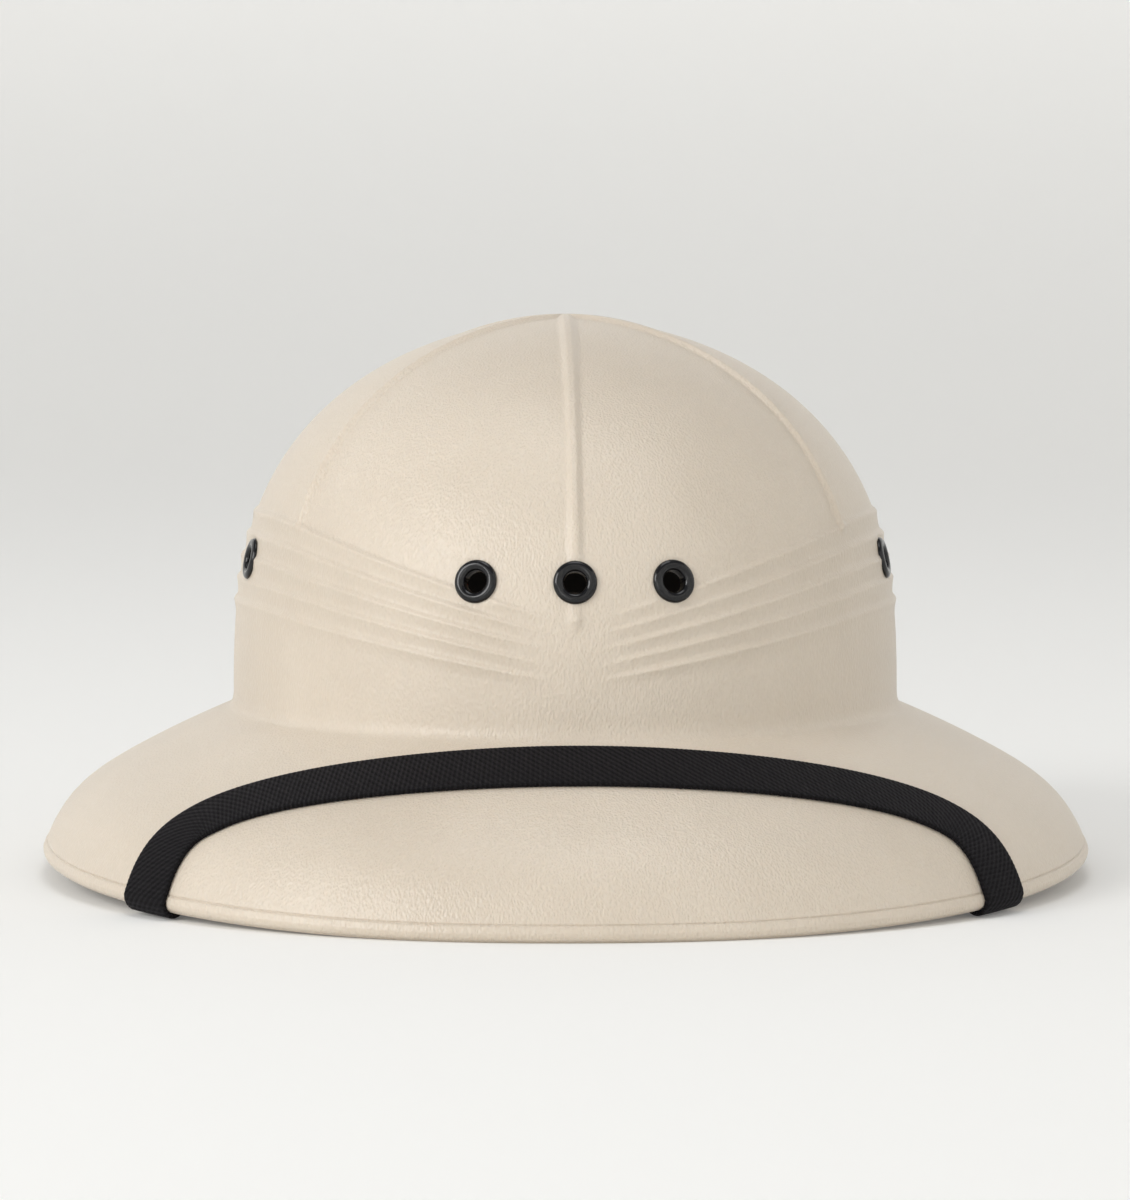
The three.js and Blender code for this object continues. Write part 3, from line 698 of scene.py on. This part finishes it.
def turned_mesh(name, outline, centre, normal):
    bm = bmesh.new()
    verts = [bm.verts.new((radius * MM, 0, height * MM)) for radius, height in outline]
    pairs = list(zip(verts, verts[1:]))
    if outline[0][0] > 0:
        pairs.append((verts[-1], verts[0]))
    edges = [bm.edges.new(pair) for pair in pairs]
    bmesh.ops.spin(bm, geom=verts + edges, cent=(0, 0, 0), axis=(0, 0, 1), dvec=(0, 0, 0),
                   angle=2 * pi, steps=TURN_STEPS, use_merge=True,
                   use_normal_flip=False, use_duplicate=False)
    bmesh.ops.remove_doubles(bm, verts=bm.verts, dist=1e-6)
    bmesh.ops.recalc_face_normals(bm, faces=bm.faces)
    turn = normal.to_track_quat("Z", "Y").to_matrix().to_4x4()
    bmesh.ops.transform(bm, matrix=Matrix.Translation(centre * MM) @ turn, verts=bm.verts)
    mesh = bpy.data.meshes.new(name)
    bm.to_mesh(mesh)
    bm.free()
    mesh.shade_smooth()
    return mesh


def arc(middle, radius, start, end, steps):
    angles = [lerp(start, end, step / steps) for step in range(steps + 1)]
    return [(middle[0] + radius[0] * cos(a), middle[1] + radius[1] * sin(a)) for a in angles]


# %% [markdown]
# Black enamel. The eyelets are brass, dipped and baked in black enamel, which flows smooth and
# dries like glass. It shows small bright reflections on an almost black body. A faint unevenness
# in the coat keeps the reflections from looking drawn, and the lip has lost a little gloss.

# %% Enamel
enamel, tree, shader = new_material("black_enamel_on_brass")
place_of = add_node(tree, "ShaderNodeTexCoord").outputs["Object"]
flow = add_noise(tree, place_of, 2.5 * MM, 2.0, 0.5)
bump = add_node(tree, "ShaderNodeBump", {
    "Height": flow.outputs["Fac"], "Strength": 0.5, "Distance": 0.06 * MM})
gloss = add_node(tree, "ShaderNodeMapRange", {
    "Value": flow.outputs["Fac"], "From Min": 0.35, "From Max": 0.7,
    "To Min": 0.12, "To Max": 0.24})
hue = add_node(tree, "ShaderNodeValToRGB", {"Fac": flow.outputs["Fac"]})
ramp_stops(hue, [(0.35, colour("#0B0B0D")), (0.75, colour("#131316"))])
tree.links.new(hue.outputs["Color"], shader.inputs["Base Color"])
tree.links.new(gloss.outputs["Result"], shader.inputs["Roughness"])
tree.links.new(bump.outputs["Normal"], shader.inputs["Normal"])
shader.inputs["IOR"].default_value = 1.5
shader.inputs["Specular IOR Level"].default_value = 0.3
shader.inputs["Coat Weight"].default_value = 0.25
shader.inputs["Coat Roughness"].default_value = 0.06
print("eyelet finish:", enamel.name)

# %% [markdown]
# Every eyelet has the same section: the rolled lip, the bore, the washer inside and the barrel
# through the wall. One row of points part way down the bore keeps the lip's shading even. Only
# the place and the direction differ, so one loop makes all eight.

# %% Eyelets
LIP_HEIGHT = 1.15
LIP_MIDDLE = (4.55, 0.15)
LIP_HALF_WIDTH = 1.45
LIP_UNDERSIDE = -0.05
BORE_ROW = -1.2
WASHER_RADIUS = 4.6
WASHER_DEPTH = (2.15, 3.0)
CURL_MIDDLE = 3.85
CURL_RADIUS = (0.75, 0.3)

eyelet_outline = (
    arc(LIP_MIDDLE, (LIP_HALF_WIDTH, LIP_HEIGHT), 0, pi, 14)
    + [(EYELET_HOLE, BORE_ROW)]
    + [(EYELET_HOLE, -WASHER_DEPTH[1] + CURL_RADIUS[1])]
    + arc((CURL_MIDDLE, -WASHER_DEPTH[1] + CURL_RADIUS[1]), CURL_RADIUS, pi, 2 * pi, 8)
    + [(WASHER_RADIUS, -WASHER_DEPTH[0]), (EYELET_BARREL, -WASHER_DEPTH[0])]
    + [(EYELET_BARREL, LIP_UNDERSIDE), (LIP_MIDDLE[0] + LIP_HALF_WIDTH, LIP_UNDERSIDE)]
)
for name, (centre, normal) in eyelet_frames.items():
    mesh = turned_mesh(name, eyelet_outline, centre, normal)
    link_piece(f"enamel_{name}", mesh, name, enamel)
print("faces in an eyelet:", len(mesh.polygons))

# %% [markdown]
# The headband is a flat moulded plastic strip, bent into an oval ring a finger's width inside
# the crown. Behind the temples it splits into a lower and an upper strap, with a long window
# between them that runs round the back. It starts as a flat sheet of three by three cells; the
# middle cell is taken out, the sheet is thickened, and the window's corners are rounded while
# everything is still square. Then straight cuts give it joints to bend at, and it is wrapped
# round the oval with the window's middle at the back and the seam at the front.

# %% Form of the headband
BAND_STANDOFF = 10.3
BAND_THICKNESS = 2.0
BAND_BOTTOM = CROWN_FOOT_Z - 1.7
BAND_HEIGHTS = (0, 9.5, 26.5, 34.5)
WINDOW_HALF_ANGLE = 100
WINDOW_CORNER = 5.0
WINDOW_CORNER_STEPS = 5
BAND_CUTS = 120
SHEET_HALF = 1.5


def band_reach(phi):
    inset = SHELL_WALL + BAND_STANDOFF
    return oval_reach(phi, CROWN_HALF_WIDTH - inset, CROWN_HALF_LENGTH - inset)


def band_normal(phi):
    inset = SHELL_WALL + BAND_STANDOFF
    return Vector((sin(phi) / (CROWN_HALF_WIDTH - inset) ** 2,
                   -cos(phi) / (CROWN_HALF_LENGTH - inset) ** 2, 0)).normalized()


BAND_MEAN_REACH = sum(band_reach(radians(a)) for a in range(360)) / 360


def slice_along_x(bm, low, high, cuts):
    for cut in range(1, cuts):
        bmesh.ops.bisect_plane(bm, geom=bm.verts[:] + bm.edges[:] + bm.faces[:], dist=1e-6,
                               plane_co=(lerp(low, high, cut / cuts), 0, 0), plane_no=(1, 0, 0))


def add_bevel(piece, width, segments=2):
    bevel = piece.modifiers.new("soft_edges", "BEVEL")
    bevel.width = width * MM
    bevel.segments = segments
    bevel.limit_method = "ANGLE"
    bevel.angle_limit = radians(40)
    bevel.profile = 0.5
    return bevel


bm = bmesh.new()
bmesh.ops.create_grid(bm, x_segments=3, y_segments=3, size=SHEET_HALF)
band_end = pi * BAND_MEAN_REACH
window_end = radians(WINDOW_HALF_ANGLE) * BAND_MEAN_REACH
columns = (-band_end, -window_end, window_end, band_end)
for vert in bm.verts:
    column = round(vert.co.x + SHEET_HALF)
    level = round(vert.co.y + SHEET_HALF)
    vert.co = (columns[column], 0, BAND_HEIGHTS[level])
window_middle = Vector((0, 0, (BAND_HEIGHTS[1] + BAND_HEIGHTS[2]) / 2))
middle = min(bm.faces, key=lambda face: (face.calc_center_median() - window_middle).length)
bmesh.ops.delete(bm, geom=[middle], context="FACES_ONLY")
grown = bmesh.ops.extrude_face_region(bm, geom=bm.faces[:])
bmesh.ops.translate(bm, vec=(0, BAND_THICKNESS, 0),
                    verts=[item for item in grown["geom"] if isinstance(item, bmesh.types.BMVert)])
bmesh.ops.recalc_face_normals(bm, faces=bm.faces)
corners = [edge for edge in bm.edges if all(
    abs(abs(vert.co.x) - window_end) < 0.01 and BAND_HEIGHTS[0] < vert.co.z < BAND_HEIGHTS[3]
    for vert in edge.verts) and abs(edge.verts[0].co.y - edge.verts[1].co.y) > 1]
bmesh.ops.bevel(bm, geom=corners, offset=WINDOW_CORNER, offset_type="OFFSET", affect="EDGES",
                segments=WINDOW_CORNER_STEPS, profile=0.5, material=-1)
ends = [face for face in bm.faces if abs(abs(face.calc_center_median().x) - band_end) < 0.01]
bmesh.ops.delete(bm, geom=ends, context="FACES_ONLY")
slice_along_x(bm, -band_end, band_end, BAND_CUTS)
for vert in bm.verts:
    phi = pi + vert.co.x / BAND_MEAN_REACH
    vert.co = place(phi, band_reach(phi) - vert.co.y, BAND_BOTTOM + vert.co.z)
bmesh.ops.remove_doubles(bm, verts=bm.verts, dist=1e-5)
bmesh.ops.recalc_face_normals(bm, faces=bm.faces)
band_mesh = bpy.data.meshes.new("headband")
bm.to_mesh(band_mesh)
bm.free()
print("headband faces:", len(band_mesh.polygons))

# %% [markdown]
# Black band plastic. The ring and its spacers are low-cost moulded polyethylene with a spark
# eroded mould texture: a dull, fine pebble. It keeps a wide grey sheen at glancing angles.

# %% Band plastic
band_plastic, tree, shader = new_material("textured_black_polyethylene")
place_of = add_node(tree, "ShaderNodeTexCoord").outputs["Object"]
pebble = add_noise(tree, place_of, 0.6 * MM, 2.0, 0.6)
bump = add_node(tree, "ShaderNodeBump", {
    "Height": pebble.outputs["Fac"], "Strength": 0.6, "Distance": 0.05 * MM})
hue = add_node(tree, "ShaderNodeValToRGB", {"Fac": pebble.outputs["Fac"]})
ramp_stops(hue, [(0.3, colour("#121212")), (0.7, colour("#1C1B1B"))])
tree.links.new(hue.outputs["Color"], shader.inputs["Base Color"])
tree.links.new(bump.outputs["Normal"], shader.inputs["Normal"])
shader.inputs["Roughness"].default_value = 0.6
shader.inputs["IOR"].default_value = 1.5

headband = link_piece("moulded_headband", band_mesh, "headband", band_plastic)
add_bevel(headband, 0.4)
print("headband finish:", band_plastic.name)

# %% [markdown]
# Blocks on the band. The four spacers that hold the ring off the shell, and the two strips that
# cover its lower edge at the temples, are all short blocks bent round the same oval. One helper
# makes them: a cube is stretched, cut across so that it can bend, and mapped between two walls.

# %% Bent blocks
BLOCK_CUTS = 16


def bent_block(name, azimuths, heights, inner, outer):
    bm = bmesh.new()
    bmesh.ops.create_cube(bm, size=1.0)
    slice_along_x(bm, -0.5, 0.5, BLOCK_CUTS)
    for vert in bm.verts:
        phi = radians(lerp(azimuths[0], azimuths[1], vert.co.x + 0.5))
        z = lerp(heights[0], heights[1], vert.co.z + 0.5)
        reach = lerp(inner(phi, z), outer(phi, z), vert.co.y + 0.5)
        vert.co = place(phi, reach, z)
    bmesh.ops.recalc_face_normals(bm, faces=bm.faces)
    mesh = bpy.data.meshes.new(name)
    bm.to_mesh(mesh)
    bm.free()
    return mesh


# %% [markdown]
# Each spacer fills the gap between the band's upper strap and the inside face of the shell, at
# the front, the back and both sides. A hair of air is left at both walls.

# %% Spacers
SPACER_WIDTH = 20.0
SPACER_INSET = 0.4
SPACER_ROUNDING = 1.0
SPACERS = {"front": 0, "right": 90, "rear": 180, "left": 270}
FIT = 0.05

for side, azimuth in SPACERS.items():
    half = degrees(SPACER_WIDTH / 2 / band_reach(radians(azimuth)))
    mesh = bent_block(
        f"spacer_{side}", (azimuth - half, azimuth + half),
        (BAND_BOTTOM + BAND_HEIGHTS[2] + SPACER_INSET, BAND_BOTTOM + BAND_HEIGHTS[3] - SPACER_INSET),
        lambda phi, z: band_reach(phi) + FIT,
        lambda phi, z: crown_point(phi, (z - CROWN_FOOT_Z) / CROWN_HEIGHT)[0].x - SHELL_WALL - FIT)
    spacer = link_piece(f"moulded_spacer_{side}", mesh, f"spacer_{side}", band_plastic)
    add_bevel(spacer, SPACER_ROUNDING, 3)
print("spacers:", len(SPACERS))

# %% [markdown]
# Edge strips. A grey strip of soft vinyl is pressed over the band's lower edge at each temple,
# where it would rub. Extruded vinyl is smooth and glossy, with faint streaks along its length.

# %% Edge strips
STRIP_AZIMUTHS = (59.5, 107.5)
STRIP_THICKNESS = 2.3
STRIP_HEIGHT = 5.0
STRIP_DROP = 1.2
STRIP_ROUNDING = 0.8

vinyl, tree, shader = new_material("extruded_grey_vinyl")
place_of = add_node(tree, "ShaderNodeTexCoord").outputs["Object"]
along = add_node(tree, "ShaderNodeMapping", {
    "Vector": place_of, "Scale": (1 / (30.0 * MM), 1 / (30.0 * MM), 1 / (0.7 * MM))})
streak = add_noise(tree, along.outputs["Vector"], 1.0, 2.0, 0.5)
bump = add_node(tree, "ShaderNodeBump", {
    "Height": streak.outputs["Fac"], "Strength": 0.5, "Distance": 0.05 * MM})
hue = add_node(tree, "ShaderNodeValToRGB", {"Fac": streak.outputs["Fac"]})
ramp_stops(hue, [(0.3, colour("#575351")), (0.75, colour("#6B6765"))])
tree.links.new(hue.outputs["Color"], shader.inputs["Base Color"])
tree.links.new(bump.outputs["Normal"], shader.inputs["Normal"])
shader.inputs["Roughness"].default_value = 0.28
shader.inputs["IOR"].default_value = 1.53

for side, sign in (("right", 1), ("left", -1)):
    mesh = bent_block(
        f"edge_strip_{side}", (sign * STRIP_AZIMUTHS[0], sign * STRIP_AZIMUTHS[1]),
        (BAND_BOTTOM - STRIP_DROP, BAND_BOTTOM - STRIP_DROP + STRIP_HEIGHT),
        lambda phi, z: band_reach(phi) + FIT,
        lambda phi, z: band_reach(phi) + FIT + STRIP_THICKNESS)
    strip = link_piece(f"vinyl_strip_{side}", mesh, f"edge_strip_{side}", vinyl)
    add_bevel(strip, STRIP_ROUNDING, 4)
print("edge strips: 2")

# %% [markdown]
# The chin strap is worn up: it lies on the brim in front of the crown, swings out to the rim at
# each side, turns under the bead and runs back to the headband, where a rivet holds it. It is one
# flat length of webbing, so it is made from one long grid laid along that route. Each station on
# the route is three points across the strap. Walking sideways over the brim's own surface keeps
# both edges lying on it. Towards the rim the three points come into line with the bead, so that
# the strap turns under it without a wrinkle.

# %% Route of the strap
STRAP_WIDTH = 18.0
STRAP_THICKNESS = 1.3
STRAP_SETBACK = 1.0
CROSSING = radians(45)
STRAP_BOW = 1.3
STRAP_EASE = 0.2
STRAP_TURN = (0.7, 1.0)
ANCHOR = radians(50)
STRAP_LAP = 12.0
STRAP_CLEARANCE = 0.25
STRAP_REST = STRAP_CLEARANCE + STRAP_THICKNESS / 2
WALK_STEPS = 4
SMALL_SHARE = 1e-4


def on_brim(phi, share):
    point = brim_point(phi, share)[0]
    return place(phi, point.x, point.y) / MM


def brim_frame(phi, share):
    d = SMALL_SHARE
    around = (on_brim(phi + d, share) - on_brim(phi - d, share)) / (2 * d)
    out = (on_brim(phi, share + d) - on_brim(phi, share - d)) / (2 * d)
    return around, out, out.cross(around).normalized()


def walk_on_brim(phi, share, heading, distance):
    for _ in range(WALK_STEPS):
        around, out, normal = brim_frame(phi, share)
        move = heading - normal * heading.dot(normal)
        move = move.normalized() * (distance / WALK_STEPS)
        rr, ro, oo = around.dot(around), around.dot(out), out.dot(out)
        det = rr * oo - ro * ro
        phi += (oo * around.dot(move) - ro * out.dot(move)) / det
        share += (rr * out.dot(move) - ro * around.dot(move)) / det
    return phi, share


def strap_swing(t):
    rise, full = (hypot(value, STRAP_EASE) ** STRAP_BOW - STRAP_EASE ** STRAP_BOW
                  for value in (t, 1))
    return rise / full


def strap_guide(t, side):
    start = (FILLET_RUN + STRAP_SETBACK + STRAP_WIDTH / 2) / brim_run(0)
    return side * CROSSING * (1 - (1 - t) ** 2), lerp(start, 1, strap_swing(t))


def station_on_brim(t, side):
    centre = strap_guide(t, side)
    ahead = (on_brim(*strap_guide(t + 1e-3, side)) - on_brim(*centre)) * side
    across = brim_frame(*centre)[2].cross(ahead)
    turn = smoothstep(t, *STRAP_TURN)
    spots = []
    for edge in (-1, 0, 1):
        phi, share = walk_on_brim(*centre, across, edge * STRAP_WIDTH / 2)
        along_rim = centre[0] + side * edge * STRAP_WIDTH / 2 / bead_reach(CROSSING)
        spots.append((lerp(phi, along_rim, turn), lerp(share, centre[1], turn)))
    return [on_brim(*spot) + brim_frame(*spot)[2] * STRAP_REST for spot in spots]


def station_on_bead(angle, side):
    half = STRAP_WIDTH / 2 / bead_reach(CROSSING)
    points = []
    for edge in (-1, 0, 1):
        phi = side * (CROSSING + edge * half)
        point = bead_point(phi, angle, BEAD_RADIUS + STRAP_REST)[0]
        points.append(place(phi, point.x, point.y) / MM)
    return points


def station_on_band(z, side):
    half = STRAP_WIDTH / 2 / band_reach(ANCHOR)
    return [place(phi, band_reach(phi) + STRAP_REST, z) / MM
            for phi in (side * (ANCHOR + edge * half) for edge in (-1, 0, 1))]


# %% [markdown]
# The route is sampled closely where it turns and sparsely where it is straight, then measured.
# The tight turn up against the band is rounded with a short curve, because webbing never folds
# to a point there.

# %% Stations along the strap
BRIM_STATIONS = 60
BRIM_GATHER = 1.5
BEAD_STATIONS = 16
KNEE_STATIONS = 6
KNEE_BEND = 3.0
KNEE_Z = BAND_BOTTOM + 0.85


def mix_stations(a, b, t):
    return [p.lerp(q, t) for p, q in zip(a, b)]


def strap_side(side):
    stations = [station_on_brim(1 - (1 - step / BRIM_STATIONS) ** BRIM_GATHER, side)
                for step in range(1, BRIM_STATIONS)]
    anchor = place(side * ANCHOR, band_reach(ANCHOR), KNEE_Z) / MM
    leave = place(side * CROSSING, bead_reach(CROSSING), bead_height(CROSSING) - BEAD_RADIUS) / MM
    run = anchor - leave
    wrap = pi / 2 + atan2(run.z, hypot(run.x, run.y))
    stations += [station_on_bead(-wrap * step / BEAD_STATIONS, side)
                 for step in range(BEAD_STATIONS + 1)]
    knee = station_on_band(KNEE_Z, side)
    before = mix_stations(knee, stations[-1], KNEE_BEND / run.length)
    after = station_on_band(KNEE_Z + KNEE_BEND, side)
    for step in range(KNEE_STATIONS + 1):
        t = step / KNEE_STATIONS
        stations.append(mix_stations(mix_stations(before, knee, t), mix_stations(knee, after, t), t))
    stations.append(station_on_band(KNEE_Z + STRAP_LAP, side))
    return stations


strap_stations = strap_side(-1)[::-1] + [station_on_brim(0, 1)] + strap_side(1)
strap_reached = [0.0]
for here, ahead in zip(strap_stations, strap_stations[1:]):
    strap_reached.append(strap_reached[-1] + (ahead[1] - here[1]).length)
strap_length = strap_reached[-1]
print("strap length:", round(strap_length), "mm over", len(strap_stations), "stations")

# %% [markdown]
# Laying the webbing. The grid has a column for every third of a millimetre, fine enough for the
# small scallops that the weft makes along both edges as it turns back. Solidify then gives the
# woven thickness. The texture map holds real millimetres along and across the strap, so the weave
# follows it round every bend.

# %% Strap mesh
WEFT_PITCH = 1.3
SCALLOP = 0.13
STRAP_COLUMNS = 1400
STRAP_LINES = 10


def strap_point(s, f):
    last = len(strap_reached) - 1
    ahead = next((i for i in range(1, last) if strap_reached[i] >= s), last)
    t = (s - strap_reached[ahead - 1]) / (strap_reached[ahead] - strap_reached[ahead - 1])
    left, mid, right = mix_stations(strap_stations[ahead - 1], strap_stations[ahead], t)
    return mid + (right - left) * (f / 2) + ((left + right) / 2 - mid) * f * f


bm = bmesh.new()
uv = bm.loops.layers.uv.new("weave")
bmesh.ops.create_grid(bm, x_segments=STRAP_COLUMNS, y_segments=STRAP_LINES, size=1.0)
for face in bm.faces:
    for loop in face.loops:
        s = (loop.vert.co.x + 1) / 2 * strap_length
        loop[uv].uv = (s, loop.vert.co.y * STRAP_WIDTH / 2)
for vert in bm.verts:
    s = (vert.co.x + 1) / 2 * strap_length
    f = vert.co.y
    if abs(f) > 0.99:
        f += math.copysign(SCALLOP * 2 / STRAP_WIDTH, f) * (cos(2 * pi * s / WEFT_PITCH) - 1) / 2
    vert.co = strap_point(min(max(s, 0.0), strap_length), f) * MM
bmesh.ops.recalc_face_normals(bm, faces=bm.faces)
strap_mesh = bpy.data.meshes.new("chin_strap")
bm.to_mesh(strap_mesh)
bm.free()
strap_mesh.shade_smooth()
print("strap faces:", len(strap_mesh.polygons))

# %% [markdown]
# Black webbing. The strap is woven polypropylene: thick weft cords cross it every 1.3 mm, and the
# warp floats over them in diagonal steps, which is a twill. The fibres are matt with a faint
# dusty sheen, and very slightly purple, as black dye often is. Ribs and twill both come from the
# texture map, in millimetres.

# %% Webbing finish
TWILL_PITCH = 2.2
TWILL_SHARE = 0.7
FUZZ_SIZE = 0.35
FUZZ_SHARE = 1.4

webbing, tree, shader = new_material("woven_black_polypropylene")
run = add_node(tree, "ShaderNodeUVMap", uv_map="weave").outputs["UV"]
split = add_node(tree, "ShaderNodeSeparateXYZ", {"Vector": run})
rib_turn = add_node(tree, "ShaderNodeMath", {
    0: split.outputs["X"], 1: 2 * pi / WEFT_PITCH}, operation="MULTIPLY")
rib = add_node(tree, "ShaderNodeMath", {0: rib_turn.outputs["Value"]}, operation="COSINE")
steps = add_node(tree, "ShaderNodeMath", {
    0: split.outputs["Y"], 1: 1.0, 2: split.outputs["X"]}, operation="MULTIPLY_ADD")
twill_turn = add_node(tree, "ShaderNodeMath", {
    0: steps.outputs["Value"], 1: 2 * pi / TWILL_PITCH}, operation="MULTIPLY")
twill = add_node(tree, "ShaderNodeMath", {0: twill_turn.outputs["Value"]}, operation="SINE")
fuzz = add_noise(tree, run, FUZZ_SIZE, 2.0, 0.6)
woven = add_node(tree, "ShaderNodeMath", {
    0: twill.outputs["Value"], 1: TWILL_SHARE, 2: rib.outputs["Value"]}, operation="MULTIPLY_ADD")
cloth = add_node(tree, "ShaderNodeMath", {
    0: fuzz.outputs["Fac"], 1: FUZZ_SHARE, 2: woven.outputs["Value"]}, operation="MULTIPLY_ADD")
bump = add_node(tree, "ShaderNodeBump", {
    "Height": cloth.outputs["Value"], "Strength": 1.0, "Distance": 0.13 * MM})
hue = add_node(tree, "ShaderNodeMapRange", {
    "Value": cloth.outputs["Value"], "From Min": -1.0, "From Max": 2.4,
    "To Min": 0.0, "To Max": 1.0})
thread = add_node(tree, "ShaderNodeValToRGB", {"Fac": hue.outputs["Result"]})
ramp_stops(thread, [(0.0, colour("#040304")), (1.0, colour("#110F12"))])
tree.links.new(thread.outputs["Color"], shader.inputs["Base Color"])
tree.links.new(bump.outputs["Normal"], shader.inputs["Normal"])
shader.inputs["Roughness"].default_value = 0.85
shader.inputs["IOR"].default_value = 1.49
shader.inputs["Specular IOR Level"].default_value = 0.2
shader.inputs["Sheen Weight"].default_value = 0.03
shader.inputs["Sheen Roughness"].default_value = 0.5
shader.inputs["Sheen Tint"].default_value = colour("#B9AEC4")

strap = link_piece("webbing_strap", strap_mesh, "chin_strap", webbing)
thick = strap.modifiers.new("woven_thickness", "SOLIDIFY")
thick.thickness = STRAP_THICKNESS * MM
thick.offset = 0.0
add_bevel(strap, 0.35)
print("strap finish:", webbing.name)

# %% [markdown]
# Rivets. A domed head outside and a flat one inside pinch the strap's end to the band.

# %% Rivets
RIVET_SHANK = 1.5
RIVET_HEAD = 3.4
RIVET_DOME = 1.0
RIVET_TAIL = 0.4
RIVET_Z = BAND_BOTTOM + BAND_HEIGHTS[1] * 0.72

outside = STRAP_REST + STRAP_THICKNESS / 2
inside = -BAND_THICKNESS
rivet_outline = (
    [(0.0, inside - 2 * RIVET_TAIL)]
    + arc((RIVET_HEAD - RIVET_TAIL, inside - RIVET_TAIL), (RIVET_TAIL, RIVET_TAIL), -pi / 2, pi / 2, 5)
    + [(RIVET_SHANK, inside), (RIVET_SHANK, outside)]
    + arc((0.0, outside), (RIVET_HEAD, RIVET_DOME), 0, pi / 2, 8)
)
for side, sign in (("left", -1), ("right", 1)):
    phi = sign * ANCHOR
    centre = place(phi, band_reach(phi), RIVET_Z) / MM
    mesh = turned_mesh(f"strap_rivet_{side}", rivet_outline, centre, band_normal(phi))
    link_piece(f"enamel_rivet_{side}", mesh, f"strap_rivet_{side}", enamel)
print("rivets: 2")
